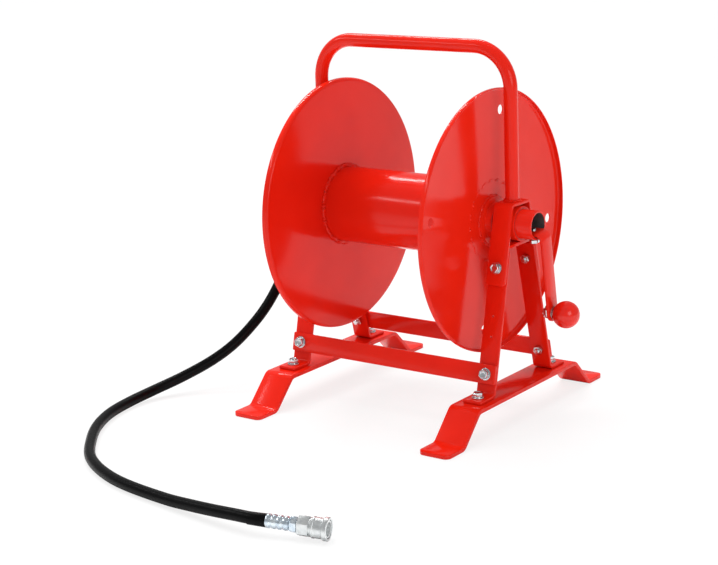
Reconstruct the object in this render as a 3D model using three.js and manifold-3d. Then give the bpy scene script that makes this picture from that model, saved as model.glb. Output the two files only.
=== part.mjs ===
// Hand-cranked garden hose reel on a bolted A-frame stand, with its lead hose and quick coupler.
// Millimetres. X runs along the axle with the crank on +X, Y points to the rear, Z is up and
// Z = 0 is the floor. X = 0 and Y = 0 lie midway between the legs.
import * as THREE from 'three';
import { mergeVertices } from 'three/addons/utils/BufferGeometryUtils.js';
import Module from 'manifold-3d';

const wasm = await Module();
wasm.setup();

// ---------- driving dimensions ----------
const SEAT = 0.3; // gap left between pieces that are clamped or welded together
const RUN = 0.08; // radial running clearance of turning parts
const ROUND = 48; // sides of the round parts that turn in one another
const rad = THREE.MathUtils.degToRad;

// flat bar of the legs, cross bars, brackets and shelves, and the bent bars of the feet
const BAR_T = 4.5;
const LEG_W = 30;
const LEG_ANGLE = 13.06; // degrees from vertical
const FOOT_W = 50;
const FOOT_T = 6;
const FOOT_HEIGHT = 47.4;
const FOOT_CORNER = 9;
const FOOT_BEND = 12;
const CROSS_H = 28;
const CROSS_LIFT = 14.2; // from a leg's tab to the lower edge of the cross bar
const CROSS_Z = FOOT_HEIGHT + SEAT + BAR_T + CROSS_LIFT + CROSS_H / 2;

// reel
const FLANGE_R = 190;
const RIM_CLEAR = 0.9; // the lowest point of the rims stands this far above the cross bars
const AXLE_Z = CROSS_Z + CROSS_H / 2 + RIM_CLEAR + FLANGE_R;
const FLANGE_SHEET = 2;
const FLANGE_LIP = 9.6; // how far the rolled rim stands out from the drum-side face
const RIM_BEND = 5; // outside radius between the disc and its rim
const DRUM_LENGTH = 258.8; // between the drum-side faces of the flanges
const DRUM_R = 57;
const DRUM_WALL = 3.2;
const AXLE_R = 21;
const AXLE_WALL = 3;
const HUB_BOSS_R = AXLE_R + 6;
const HUB_PLATE_R = HUB_BOSS_R + 8.5;
const HUB_PLATE_T = 4.5;
const HUB_END_PLAY = 0.8; // between the hub boss and the bearing bush flange
const TIE_HOLE_R = 7;
const TIE_HOLE_PITCH_R = FLANGE_R - 31.5;
const TIE_HOLE_START = -10; // degrees from +Y
const TIE_HOLES = 4;

// bearings: a bush in a sleeve, held in the bracket and resting on the shelf
const BUSH_WALL = 1.92;
const SLEEVE_WALL = 1.9;
const SLEEVE_R = AXLE_R + RUN + BUSH_WALL + SEAT / 3 + SLEEVE_WALL;
const SLEEVE_OVERHANG = 1.6; // past each edge of the bracket
const SLEEVE_TOP_GAP = 2.4; // between the sleeve and the top of the bracket
const SLEEVE_SIDE_GAP = 1.33; // between the sleeve and each slanting side of the bracket
const BUSH_FLANGE_R = SLEEVE_R + 4;
const BUSH_FLANGE_T = 1.6;

// stand
const RIM_TO_LEG = 11.6; // side clearance between a rolled rim and the legs
const STAND_HALF = DRUM_LENGTH / 2 + FLANGE_LIP + RIM_TO_LEG + LEG_W / 2; // to a leg's middle
const AXLE_PROUD = 26.9; // of the outer edge of the legs
const AXLE_HALF = STAND_HALF + LEG_W / 2 + AXLE_PROUD;
const LEG_FOOT_Y = (SLEEVE_R + SLEEVE_SIDE_GAP - SEAT - BAR_T / 2) / Math.cos(rad(LEG_ANGLE))
  + (AXLE_Z - FOOT_HEIGHT - SEAT - BAR_T / 2) * Math.tan(rad(LEG_ANGLE)); // foot of a leg
const LEG_TOP_Z = AXLE_Z - SLEEVE_R - BAR_T - 5.8;
const TAB_END_Y = LEG_FOOT_Y + 38;
const TAB_BOLT_Y = LEG_FOOT_Y + 21;
const LEG_BEND = 7;
const SPARE_HOLE_R = 2;
const SPARE_HOLES_Z = [CROSS_Z + 51.2, CROSS_Z + 79.6];
const FOOT_RAMP_IN = TAB_END_Y + 17; // |y| of the upper corner of each ramp
const FOOT_RAMP_OUT = FOOT_RAMP_IN + 41.5; // |y| of its lower corner
const FOOT_PAD = 42; // flat length of each end that stands on the floor
const FOOT_LENGTH = 2 * (FOOT_RAMP_OUT + FOOT_PAD);
const HANGER_TOP_Z = AXLE_Z + SLEEVE_R + SLEEVE_TOP_GAP + BAR_T;
const HANGER_LAP = 46; // length of the bracket's side that lies on the leg
const HANGER_DROP_Z = LEG_TOP_Z - HANGER_LAP;
const HANGER_BEND = 5;
const HANGER_CORNER = 5;
const HANGER_BOLT_Z = HANGER_DROP_Z + 24;
const HANDLE_R = 10;
const HANDLE_WALL = 1.6;
const HANDLE_RISE = 58.5; // from the top of the rims to the middle of the grip
const HANDLE_Z = AXLE_Z + FLANGE_R + HANDLE_RISE;
const HANDLE_BEND = 58;

// hexagon bolts and nuts
const BOLT_R = 4;
const BOLT_HOLE = 0.5; // radial clearance of the bolt holes
const HEX_AF = 13;
const HEAD_H = 5.3;
const NUT_H = 6.5;
const WASHER_R = 8.8;
const WASHER_T = 1.6;
const BOLT_PROUD = 3; // thread standing out past the nut

// crank
const CRANK_W = 24.6;
const CRANK_T = 4.5;
const CRANK_R = 132; // from the axle to the knob
const CRANK_LEAN = 8.5; // degrees the arm rests off vertical, towards the rear
const CRANK_FACE_X = AXLE_HALF + 12.5; // outer face of the hanging arm
const CRANK_BEND = 8; // inside radius
const CRANK_TAIL = 25; // length held inside the axle tube
const CRANK_BOLT_INSET = 8.5;
const KNOB_R = 19.7;
const KNOB_FLAT_X = CRANK_FACE_X + 3.2;
const KNOB_BORE_DEPTH = KNOB_R + 5.3;
const SPINDLE_R = 5;
const SPINDLE_COLLAR_R = SPINDLE_R + 4.6;
const KNOB_NUT_AF = 17;
const KNOB_NUT_H = 8;

// water way
const PIPE_R = AXLE_R - AXLE_WALL - 5;
const PIPE_WALL = 2.6;
const OUTLET_X = 57.4 - DRUM_LENGTH / 2;
const OUTLET_ANGLE = 35; // degrees below +Y
const OUTLET_PROUD = 24;
const OUTLET_R = 9;
const SWIVEL_X = -AXLE_HALF - 36.5; // centreline of the port that points down
const STEM_R = 9;
const STEM_BORE = 5;
const SWIVEL_R = STEM_R + 5.5;
const PORT_LENGTH = 52;
const SEAL_R = 2.4;

// lead hose and quick coupler
const HOSE_R = 8;
const HOSE_ROUTE = [
  [-244, 0, 232.6], [-244, 0, 218], [-244.6, -2, 200], [-247.5, -8, 172], [-254.6, -22, 143],
  [-264, -38, 116], [-275, -57, 92], [-289, -92, 64], [-306, -126, 44], [-331, -170, 25],
  [-350, -217, 13], [-353, -267, 8.6], [-342, -319, 8.3], [-319, -369, 8.3], [-284, -418, 8.3],
  [-226, -478, 8.3], [-143, -520, 8.3], [-31.4, -541.6, 9.6], [16.8, -547.7, 12.6],
  [61.4, -552.7, 16.2], [96, -554.8, 18.8], [120, -554.8, 19.7], [135.1, -552.5, 19.54],
  [145.6, -549.2, 19],
];
const HOSE_STEPS = 44;
const FERRULE_R = HOSE_R + 1;
const FERRULE_L = 29;
const ADAPTER_AF = 19;
const ADAPTER_L = 11;
const BODY_AF = 24;
const BODY_L = 15;
const COUPLER_SLEEVE_L = 21;
const SLEEVE_TRAVEL = 3; // how far the sleeve draws back to let a plug go
const COUPLER_BORE = 9;
const COUPLER_TUBE_R = COUPLER_BORE + 2.6;
const SLEEVE_OD_R = COUPLER_TUBE_R + 2;
const SLEEVE_LIP_R = SLEEVE_OD_R + 1.2;
const COUPLER_DIR = new THREE.Vector3(0.953, 0.299, -0.049).normalize();

// ---------- places worked out from the sizes above ----------
const LEAN = rad(LEG_ANGLE);
const TAB_Z = FOOT_HEIGHT + SEAT + BAR_T / 2; // middle of a leg's tab
const legMidY = (z) => LEG_FOOT_Y - (z - TAB_Z) * Math.tan(LEAN);
const legFaceY = (z) => legMidY(z) + BAR_T / 2 / Math.cos(LEAN); // outward face
const hangerInnerY = (z) => legFaceY(z) + SEAT / Math.cos(LEAN);
const hangerMidY = (z) => hangerInnerY(z) + BAR_T / 2 / Math.cos(LEAN);
const FLANGE_IN_X = DRUM_LENGTH / 2;
const FLANGE_OUT_X = FLANGE_IN_X + FLANGE_SHEET;
const HUB_X = FLANGE_OUT_X + SEAT;
const SLEEVE_IN_X = STAND_HALF - LEG_W / 2 - SLEEVE_OVERHANG;
const SLEEVE_OUT_X = STAND_HALF + LEG_W / 2 + SLEEVE_OVERHANG;
const BUSH_FLANGE_X = SLEEVE_IN_X - SEAT - BUSH_FLANGE_T;
const HUB_END_X = BUSH_FLANGE_X - HUB_END_PLAY;
const SHELF_TOP_Z = AXLE_Z - SLEEVE_R - SEAT;
const UP = new THREE.Vector3(0, 1, 0);

// ---------- materials ----------
const material = (name, colour, roughness, metalness) => {
  const made = new THREE.MeshStandardMaterial({ color: colour, roughness, metalness });
  made.name = name;
  return made;
};
const RED = material('red_enamel', 0xe2231c, 0.28, 0);
const ZINC = material('zinc_plate', 0xb9bec4, 0.32, 1);
const RUBBER = material('black_rubber', 0x111214, 0.42, 0);
const BALL = material('red_plastic', 0xe02a1f, 0.22, 0);
const NYLON = material('white_nylon', 0xd9d6cc, 0.55, 0);
const SEAL = material('seal_rubber', 0x1b1b1c, 0.7, 0);

// ---------- solid helpers ----------
function toSolid(geometry) {
  const plain = (geometry.index ? geometry.toNonIndexed() : geometry.clone());
  plain.deleteAttribute('normal');
  plain.deleteAttribute('uv');
  const merged = mergeVertices(plain, 1e-4);
  return new wasm.Manifold(new wasm.Mesh({
    numProp: 3,
    vertProperties: new Float32Array(merged.attributes.position.array),
    triVerts: new Uint32Array(merged.index.array),
  }));
}

function toGeometry(manifold) {
  const mesh = manifold.getMesh();
  const geometry = new THREE.BufferGeometry();
  geometry.setAttribute('position', new THREE.BufferAttribute(mesh.vertProperties, 3));
  geometry.setIndex(new THREE.BufferAttribute(mesh.triVerts, 1));
  geometry.computeVertexNormals();
  return geometry;
}

// A shape drawn in (y, z) and pushed out along X, centred on x.
function alongX(shape, width, x = 0) {
  const geometry = new THREE.ExtrudeGeometry(shape, { depth: width, bevelEnabled: false });
  const basis = new THREE.Matrix4().makeBasis(
    new THREE.Vector3(0, 1, 0), new THREE.Vector3(0, 0, 1), new THREE.Vector3(1, 0, 0),
  );
  geometry.applyMatrix4(basis);
  geometry.translate(x - width / 2, 0, 0);
  return toSolid(geometry);
}

// A shape drawn in (x, y) and pushed up along Z from z.
function alongZ(shape, height, z = 0) {
  const geometry = new THREE.ExtrudeGeometry(shape, { depth: height, bevelEnabled: false });
  geometry.translate(0, 0, z);
  return toSolid(geometry);
}

// Turns a solid built along +Y from the origin to point along a direction from a place.
function place(solid, from, direction) {
  const turn = new THREE.Quaternion().setFromUnitVectors(UP, direction);
  const matrix = new THREE.Matrix4().compose(from, turn, new THREE.Vector3(1, 1, 1));
  return solid.transform(matrix.elements);
}

// A turned piece: its profile is a closed list of [radius, distance along the axis].
function turned(profile, segments) {
  const points = profile.map(([r, a]) => new THREE.Vector2(r, a));
  return toSolid(new THREE.LatheGeometry(points, segments));
}

const rod = (r, from, to, segments) =>
  turned([[0, from], [r, from], [r, to], [0, to]], segments);
const tube = (r, bore, from, to, segments) =>
  turned([[bore, from], [r, from], [r, to], [bore, to], [bore, from]], segments);

// A hexagonal prism along +Y.
function hexagon(acrossFlats, from, to) {
  const r = acrossFlats / 2 / Math.cos(Math.PI / 6);
  return rod(r, from, to, 6);
}

const AXIS_X = new THREE.Vector3(1, 0, 0);
const onAxle = (solid) => place(solid, new THREE.Vector3(0, 0, AXLE_Z), AXIS_X);
const vec = (x, y, z) => new THREE.Vector3(x, y, z);

// Straight runs joined by arcs: a list of corners and one middle radius for every bend.
function bentLine(corners, radius, steps = 4) {
  const line = [corners[0].clone()];
  for (let i = 1; i < corners.length - 1; i += 1) {
    const into = corners[i - 1].clone().sub(corners[i]).normalize();
    const out = corners[i + 1].clone().sub(corners[i]).normalize();
    const half = Math.acos(into.dot(out)) / 2;
    const centre = corners[i].clone()
      .add(into.clone().add(out).normalize().multiplyScalar(radius / Math.sin(half)));
    const first = corners[i].clone().add(into.multiplyScalar(radius / Math.tan(half))).sub(centre);
    const last = corners[i].clone().add(out.multiplyScalar(radius / Math.tan(half))).sub(centre);
    const sweep = Math.PI - 2 * half;
    for (let k = 0; k <= steps; k += 1) {
      const t = (k / steps) * sweep;
      const a = Math.sin(sweep - t) / Math.sin(sweep);
      const b = Math.sin(t) / Math.sin(sweep);
      line.push(centre.clone().add(first.clone().multiplyScalar(a)).add(last.clone().multiplyScalar(b)));
    }
  }
  line.push(corners[corners.length - 1].clone());
  return line;
}

// The outline of a bent strip of flat bar, from the line along the middle of its thickness.
function stripShape(line, thickness) {
  const sides = [[], []];
  line.forEach((point, i) => {
    const before = line[Math.max(i - 1, 0)];
    const after = line[Math.min(i + 1, line.length - 1)];
    const a = point.clone().sub(before);
    const b = after.clone().sub(point);
    const along = (a.lengthSq() ? a.normalize() : b.clone().normalize())
      .add(b.lengthSq() ? b.normalize() : a).normalize();
    const bisector = i === 0 || i === line.length - 1
      ? 1
      : 1 / Math.cos(after.clone().sub(point).angleTo(point.clone().sub(before)) / 2);
    const offset = new THREE.Vector2(-along.y, along.x).multiplyScalar((thickness / 2) * bisector);
    sides[0].push(point.clone().add(offset));
    sides[1].unshift(point.clone().sub(offset));
  });
  return new THREE.Shape([...sides[0], ...sides[1]]);
}

function roundedBox(halfA, halfB, corner) {
  const shape = new THREE.Shape();
  shape.absarc(halfA - corner, halfB - corner, corner, 0, Math.PI / 2);
  shape.absarc(-halfA + corner, halfB - corner, corner, Math.PI / 2, Math.PI);
  shape.absarc(-halfA + corner, -halfB + corner, corner, Math.PI, Math.PI * 1.5);
  shape.absarc(halfA - corner, -halfB + corner, corner, Math.PI * 1.5, Math.PI * 2);
  const points = shape.getPoints(3);
  return new THREE.Shape(points.filter((p, i) => i === 0 || p.distanceTo(points[i - 1]) > 1e-3));
}

// ---------- the object as a scene graph ----------
const reel = new THREE.Group();
const stand = new THREE.Group();
const lead = new THREE.Group();

function add(group, name, solid, look) {
  const mesh = new THREE.Mesh(toGeometry(solid), look);
  mesh.name = name;
  group.add(mesh);
}

const SIDES = [['right', 1], ['left', -1]];
const ENDS = [['front', -1], ['rear', 1]];

// ---------- fasteners: a hexagon bolt with its washer, and its nut ----------
// The bolt's washer seats on a face at `seat`; its shank runs along `into` through `grip`.
const bolt = (seat, into, grip) => {
  const shank = grip + SEAT * 2 + NUT_H + BOLT_PROUD;
  const head = hexagon(HEX_AF, -SEAT - WASHER_T - HEAD_H, -SEAT - WASHER_T / 2);
  const washer = rod(WASHER_R, -SEAT - WASHER_T, -SEAT, 16);
  const stem = rod(BOLT_R, -SEAT - WASHER_T / 2, shank, 10);
  return place(head.add(washer).add(stem), seat, into);
};
const nut = (seat, into, grip) => {
  const ring = hexagon(HEX_AF, grip + SEAT, grip + SEAT + NUT_H);
  const thread = rod(BOLT_R + SEAT, grip, grip + NUT_H + 2, 10);
  return place(ring.subtract(thread), seat, into);
};
const boltHole = (seat, into, grip) =>
  place(rod(BOLT_R + BOLT_HOLE, -2, grip + 2, 12), seat, into);

// Where each fastener sits: the face under its washer, its direction and what it clamps.
const outward = (end) => vec(0, end * Math.cos(LEAN), Math.sin(LEAN));
const inward = (end) => outward(end).negate();
function crossSeat(side, end) {
  const face = vec(side * STAND_HALF, end * legFaceY(CROSS_Z), CROSS_Z);
  return face.addScaledVector(outward(end), SEAT + BAR_T);
}
function hangerSeat(side, end) {
  const face = vec(side * STAND_HALF, end * hangerMidY(HANGER_BOLT_Z), HANGER_BOLT_Z);
  return face.addScaledVector(outward(end), BAR_T / 2);
}
const footSeat = (side, end) => vec(side * STAND_HALF, end * TAB_BOLT_Y, TAB_Z + BAR_T / 2);
const DOWN = vec(0, 0, -1);
const TWO_BARS = BAR_T * 2 + SEAT;
const TAB_AND_FOOT = BAR_T + SEAT + FOOT_T;

// ---------- stand ----------
function footBar(side) {
  const mid = FOOT_T / 2;
  const top = FOOT_HEIGHT - FOOT_T / 2;
  const corners = [
    new THREE.Vector2(-FOOT_LENGTH / 2, mid), new THREE.Vector2(-FOOT_RAMP_OUT, mid),
    new THREE.Vector2(-FOOT_RAMP_IN, top), new THREE.Vector2(FOOT_RAMP_IN, top),
    new THREE.Vector2(FOOT_RAMP_OUT, mid), new THREE.Vector2(FOOT_LENGTH / 2, mid),
  ];
  let bar = alongX(stripShape(bentLine(corners, FOOT_BEND), FOOT_T), FOOT_W, side * STAND_HALF);
  const plan = roundedBox(FOOT_W / 2, FOOT_LENGTH / 2, FOOT_CORNER);
  bar = bar.intersect(alongZ(plan, FOOT_HEIGHT + 2, -1).translate([side * STAND_HALF, 0, 0]));
  for (const [, end] of ENDS) {
    bar = bar.subtract(boltHole(footSeat(side, end), DOWN, TAB_AND_FOOT));
  }
  return bar;
}

function leg(side, end) {
  const corners = [
    new THREE.Vector2(end * TAB_END_Y, TAB_Z), new THREE.Vector2(end * LEG_FOOT_Y, TAB_Z),
    new THREE.Vector2(end * legMidY(LEG_TOP_Z), LEG_TOP_Z),
  ];
  let bar = alongX(stripShape(bentLine(corners, LEG_BEND), BAR_T), LEG_W, side * STAND_HALF)
    .subtract(boltHole(footSeat(side, end), DOWN, BAR_T))
    .subtract(boltHole(crossSeat(side, end), inward(end), TWO_BARS))
    .subtract(boltHole(hangerSeat(side, end), inward(end), TWO_BARS));
  if (end < 0) {
    for (const z of SPARE_HOLES_Z) {
      const from = vec(side * STAND_HALF, end * legFaceY(z), z).addScaledVector(outward(end), 2);
      bar = bar.subtract(place(rod(SPARE_HOLE_R, 0, BAR_T + 4, 8), from, inward(end)));
    }
  }
  return bar;
}

function crossBar(end) {
  const box = toSolid(new THREE.BoxGeometry(2 * STAND_HALF + LEG_W, BAR_T, CROSS_H));
  const turn = new THREE.Matrix4().makeRotationX(end * LEAN);
  const middle = vec(0, end * legFaceY(CROSS_Z), CROSS_Z)
    .addScaledVector(outward(end), SEAT + BAR_T / 2);
  let bar = box.transform(turn.setPosition(middle).elements);
  for (const [, side] of SIDES) {
    bar = bar.subtract(boltHole(crossSeat(side, end), inward(end), TWO_BARS));
  }
  return bar;
}

function hangerBracket(side) {
  const topMid = HANGER_TOP_Z - BAR_T / 2;
  const corners = [
    new THREE.Vector2(-hangerMidY(HANGER_DROP_Z), HANGER_DROP_Z),
    new THREE.Vector2(-hangerMidY(topMid), topMid), new THREE.Vector2(hangerMidY(topMid), topMid),
    new THREE.Vector2(hangerMidY(HANGER_DROP_Z), HANGER_DROP_Z),
  ];
  const strip = stripShape(bentLine(corners, HANGER_BEND), BAR_T);
  let bracket = alongX(strip, LEG_W, side * STAND_HALF);
  const high = HANGER_TOP_Z + 20 - HANGER_DROP_Z;
  const front = toSolid(new THREE.ExtrudeGeometry(
    roundedBox(LEG_W / 2, high / 2, HANGER_CORNER), { depth: 240, bevelEnabled: false },
  ).rotateX(Math.PI / 2).translate(side * STAND_HALF, 120, HANGER_DROP_Z - 0.4 + high / 2));
  bracket = bracket.intersect(front);
  for (const [, end] of ENDS) {
    bracket = bracket.subtract(boltHole(hangerSeat(side, end), inward(end), TWO_BARS));
  }
  return bracket;
}

function bearingShelf(side) {
  const half = hangerInnerY(SHELF_TOP_Z) - SEAT;
  const plate = new THREE.BoxGeometry(LEG_W, 2 * half, BAR_T);
  return toSolid(plate.translate(side * STAND_HALF, 0, SHELF_TOP_Z - BAR_T / 2));
}

// A piece made for the right side, or the same piece turned round for the left.
const forSide = (side, solid) => (side > 0 ? solid : solid.rotate([0, 0, 180]));

const bearingSleeve = (side) => forSide(
  side, onAxle(tube(SLEEVE_R, SLEEVE_R - SLEEVE_WALL, SLEEVE_IN_X, SLEEVE_OUT_X, 40)),
);

function bearingBush(side) {
  const bore = AXLE_R + RUN;
  const outside = SLEEVE_R - SLEEVE_WALL - SEAT / 3;
  const profile = [
    [bore, BUSH_FLANGE_X], [BUSH_FLANGE_R, BUSH_FLANGE_X],
    [BUSH_FLANGE_R, BUSH_FLANGE_X + BUSH_FLANGE_T], [outside, BUSH_FLANGE_X + BUSH_FLANGE_T],
    [outside, SLEEVE_OUT_X], [bore, SLEEVE_OUT_X], [bore, BUSH_FLANGE_X],
  ];
  return forSide(side, onAxle(turned(profile, ROUND)));
}

// A round section pushed along a run of straight pieces and bends.
function swept(r, line, sides, steps) {
  const path = new THREE.CurvePath();
  for (let i = 1; i < line.length; i += 1) path.add(new THREE.LineCurve3(line[i - 1], line[i]));
  return toSolid(new THREE.ExtrudeGeometry(disc(r, sides), {
    steps, extrudePath: path, bevelEnabled: false,
  }));
}

function disc(r, sides) {
  const points = [];
  for (let k = 0; k < sides; k += 1) {
    const a = (k / sides) * Math.PI * 2;
    points.push(new THREE.Vector2(r * Math.cos(a), r * Math.sin(a)));
  }
  return new THREE.Shape(points);
}

function carryHandle() {
  const run = (footZ) => bentLine([
    vec(-STAND_HALF, 0, footZ), vec(-STAND_HALF, 0, HANDLE_Z),
    vec(STAND_HALF, 0, HANDLE_Z), vec(STAND_HALF, 0, footZ),
  ], HANDLE_BEND, 10);
  const foot = HANGER_TOP_Z + SEAT;
  const outside = swept(HANDLE_R, run(foot), 12, 40);
  return outside.subtract(swept(HANDLE_R - HANDLE_WALL, run(foot - 1), 8, 40));
}

for (const [sideName, side] of SIDES) {
  add(stand, `foot_bar_${sideName}`, footBar(side), RED);
  add(stand, `hanger_bracket_${sideName}`, hangerBracket(side), RED);
  add(stand, `bearing_shelf_${sideName}`, bearingShelf(side), RED);
  add(stand, `bearing_sleeve_${sideName}`, bearingSleeve(side), RED);
  add(stand, `bearing_bush_${sideName}`, bearingBush(side), NYLON);
  for (const [endName, end] of ENDS) {
    const where = `${endName}_${sideName}`;
    add(stand, `leg_${where}`, leg(side, end), RED);
    const fixings = [
      ['foot', footSeat(side, end), DOWN, TAB_AND_FOOT],
      ['cross', crossSeat(side, end), inward(end), TWO_BARS],
      ['hanger', hangerSeat(side, end), inward(end), TWO_BARS],
    ];
    for (const [what, seat, into, grip] of fixings) {
      add(stand, `${what}_bolt_${where}`, bolt(seat, into, grip), ZINC);
      add(stand, `${what}_nut_${where}`, nut(seat, into, grip), ZINC);
    }
  }
}
for (const [endName, end] of ENDS) add(stand, `cross_bar_${endName}`, crossBar(end), RED);
add(stand, 'carry_handle', carryHandle(), RED);

// ---------- reel ----------
const OUTLET = vec(0, Math.cos(rad(OUTLET_ANGLE)), -Math.sin(rad(OUTLET_ANGLE)));
const outletRod = (r, from, to, segments) =>
  place(rod(r, from, to, segments), vec(OUTLET_X, 0, AXLE_Z), OUTLET);
const CRANK_DOWN = vec(0, Math.sin(rad(CRANK_LEAN)), -Math.cos(rad(CRANK_LEAN)));
const crankBoltRod = (r, from, to, segments) =>
  place(rod(r, from, to, segments), vec(AXLE_HALF - CRANK_BOLT_INSET, 0, AXLE_Z), CRANK_DOWN);

function flange(side) {
  const bore = AXLE_R + SEAT;
  const profile = [[bore, FLANGE_IN_X]];
  const bend = (radius, from, to) => {
    for (let k = 0; k <= 2; k += 1) {
      const a = from + ((to - from) * k) / 2;
      profile.push([
        FLANGE_R - RIM_BEND + radius * Math.cos(a), FLANGE_IN_X + RIM_BEND + radius * Math.sin(a),
      ]);
    }
  };
  bend(RIM_BEND, -Math.PI / 2, 0);
  profile.push([FLANGE_R, FLANGE_IN_X + FLANGE_LIP]);
  profile.push([FLANGE_R - FLANGE_SHEET, FLANGE_IN_X + FLANGE_LIP]);
  bend(RIM_BEND - FLANGE_SHEET, 0, -Math.PI / 2);
  profile.push([bore, FLANGE_OUT_X], [bore, FLANGE_IN_X]);
  let disk = onAxle(turned(profile, 64));
  for (let k = 0; side > 0 && k < TIE_HOLES; k += 1) {
    const a = rad(TIE_HOLE_START + (360 / TIE_HOLES) * k);
    const y = TIE_HOLE_PITCH_R * Math.cos(a);
    const z = AXLE_Z + TIE_HOLE_PITCH_R * Math.sin(a);
    const cut = rod(TIE_HOLE_R, -2, FLANGE_SHEET + 2, 12);
    disk = disk.subtract(place(cut, vec(FLANGE_IN_X, y, z), AXIS_X));
  }
  return forSide(side, disk);
}

function hubPlate(side) {
  const bore = AXLE_R + SEAT;
  const step = HUB_X + HUB_PLATE_T;
  const plate = onAxle(turned([
    [bore, HUB_X], [HUB_PLATE_R, HUB_X], [HUB_PLATE_R, step], [HUB_BOSS_R, step],
    [HUB_BOSS_R, HUB_END_X], [bore, HUB_END_X], [bore, HUB_X],
  ], 36));
  return forSide(side, plate);
}

function drumCore() {
  const half = FLANGE_IN_X - SEAT;
  return onAxle(tube(DRUM_R, DRUM_R - DRUM_WALL, -half, half, ROUND))
    .subtract(outletRod(OUTLET_R + BOLT_HOLE, DRUM_R / 2, DRUM_R * 1.2, 20));
}

function axleTube() {
  return onAxle(tube(AXLE_R, AXLE_R - AXLE_WALL, -AXLE_HALF, AXLE_HALF, ROUND))
    .subtract(outletRod(OUTLET_R + BOLT_HOLE, AXLE_R / 2, AXLE_R * 1.2, 20))
    .subtract(crankBoltRod(BOLT_R + BOLT_HOLE, AXLE_R / 2, AXLE_R * 1.2, 20));
}

// The crank's tail lies on the floor of the axle tube, as low as its width lets it go.
const CRANK_FLOOR = Math.sqrt((AXLE_R - AXLE_WALL - SEAT) ** 2 - (CRANK_W / 2) ** 2);

function crankArm() {
  const tailMid = -CRANK_FLOOR + CRANK_T / 2;
  const armMid = CRANK_FACE_X - CRANK_T / 2;
  const end = -CRANK_R - CRANK_W / 2;
  const strip = stripShape(bentLine([
    new THREE.Vector2(AXLE_HALF - CRANK_TAIL, tailMid), new THREE.Vector2(armMid, tailMid),
    new THREE.Vector2(armMid, end),
  ], CRANK_BEND + CRANK_T / 2, 8), CRANK_T);
  const geometry = new THREE.ExtrudeGeometry(strip, { depth: CRANK_W, bevelEnabled: false });
  geometry.rotateX(Math.PI / 2).translate(0, CRANK_W / 2, 0);
  const outline = new THREE.Shape()
    .moveTo(-CRANK_W / 2, AXLE_R).lineTo(-CRANK_W / 2, -CRANK_R)
    .absarc(0, -CRANK_R, CRANK_W / 2, Math.PI, Math.PI * 2);
  outline.lineTo(CRANK_W / 2, AXLE_R);
  const points = outline.getPoints(10).filter((p, i, all) => !i || p.distanceTo(all[i - 1]) > 1e-3);
  const arm = toSolid(geometry).intersect(alongX(new THREE.Shape(points), 2 * CRANK_FACE_X, 0));
  const turn = new THREE.Matrix4().makeRotationX(rad(CRANK_LEAN));
  return arm.transform(turn.setPosition(0, 0, AXLE_Z).elements)
    .subtract(crankBoltRod(BOLT_R + BOLT_HOLE, 0, AXLE_R, 20))
    .subtract(onKnob(rod(SPINDLE_R + SEAT, CRANK_FACE_X - CRANK_T - 2, CRANK_FACE_X + 2, 20)));
}

const KNOB_AXIS = vec(0, 0, AXLE_Z).addScaledVector(CRANK_DOWN, CRANK_R);
const onKnob = (solid) => place(solid, KNOB_AXIS, AXIS_X);

function crankBolt() {
  const head = place(
    hexagon(HEX_AF, AXLE_R + SEAT, AXLE_R + SEAT + HEAD_H),
    vec(AXLE_HALF - CRANK_BOLT_INSET, 0, AXLE_Z), CRANK_DOWN,
  );
  return head.add(crankBoltRod(BOLT_R, CRANK_FLOOR - CRANK_T - BOLT_PROUD, AXLE_R + HEAD_H / 2, 16));
}

function knobSpindle() {
  const back = CRANK_FACE_X - CRANK_T - SEAT - KNOB_NUT_H - BOLT_PROUD;
  const collar = CRANK_FACE_X + SEAT;
  return onKnob(turned([
    [0, back], [SPINDLE_R, back], [SPINDLE_R, collar], [SPINDLE_COLLAR_R, collar],
    [SPINDLE_COLLAR_R, KNOB_FLAT_X - SEAT], [SPINDLE_R, KNOB_FLAT_X - SEAT],
    [SPINDLE_R, KNOB_FLAT_X + KNOB_BORE_DEPTH - SEAT * 2],
    [0, KNOB_FLAT_X + KNOB_BORE_DEPTH - SEAT * 2],
  ], 24));
}

function knobNut() {
  const face = CRANK_FACE_X - CRANK_T - SEAT;
  return onKnob(hexagon(KNOB_NUT_AF, face - KNOB_NUT_H, face)
    .subtract(rod(SPINDLE_R + SEAT / 2, face - KNOB_NUT_H - 1, face + 1, 20)));
}

function crankKnob() {
  const bore = SPINDLE_R + RUN;
  const bottom = KNOB_FLAT_X + KNOB_BORE_DEPTH;
  const start = Math.asin(SPINDLE_COLLAR_R / KNOB_R);
  const centre = KNOB_FLAT_X + KNOB_R * Math.cos(start);
  const profile = [[0, bottom], [bore, bottom], [bore, KNOB_FLAT_X]];
  for (let k = 0; k <= 9; k += 1) {
    const a = start + ((Math.PI - start) * k) / 9;
    profile.push([k === 9 ? 0 : KNOB_R * Math.sin(a), centre - KNOB_R * Math.cos(a)]);
  }
  return onKnob(turned(profile, 24));
}

for (const [sideName, side] of SIDES) {
  add(reel, `flange_${sideName}`, flange(side), RED);
  add(reel, `hub_plate_${sideName}`, hubPlate(side), RED);
}
add(reel, 'drum_core', drumCore(), RED);
add(reel, 'axle_tube', axleTube(), RED);
add(reel, 'crank_arm', crankArm(), RED);
add(reel, 'crank_bolt', crankBolt(), ZINC);
add(reel, 'knob_spindle', knobSpindle(), ZINC);
add(reel, 'knob_nut', knobNut(), ZINC);
add(reel, 'crank_knob', crankKnob(), BALL);

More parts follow.
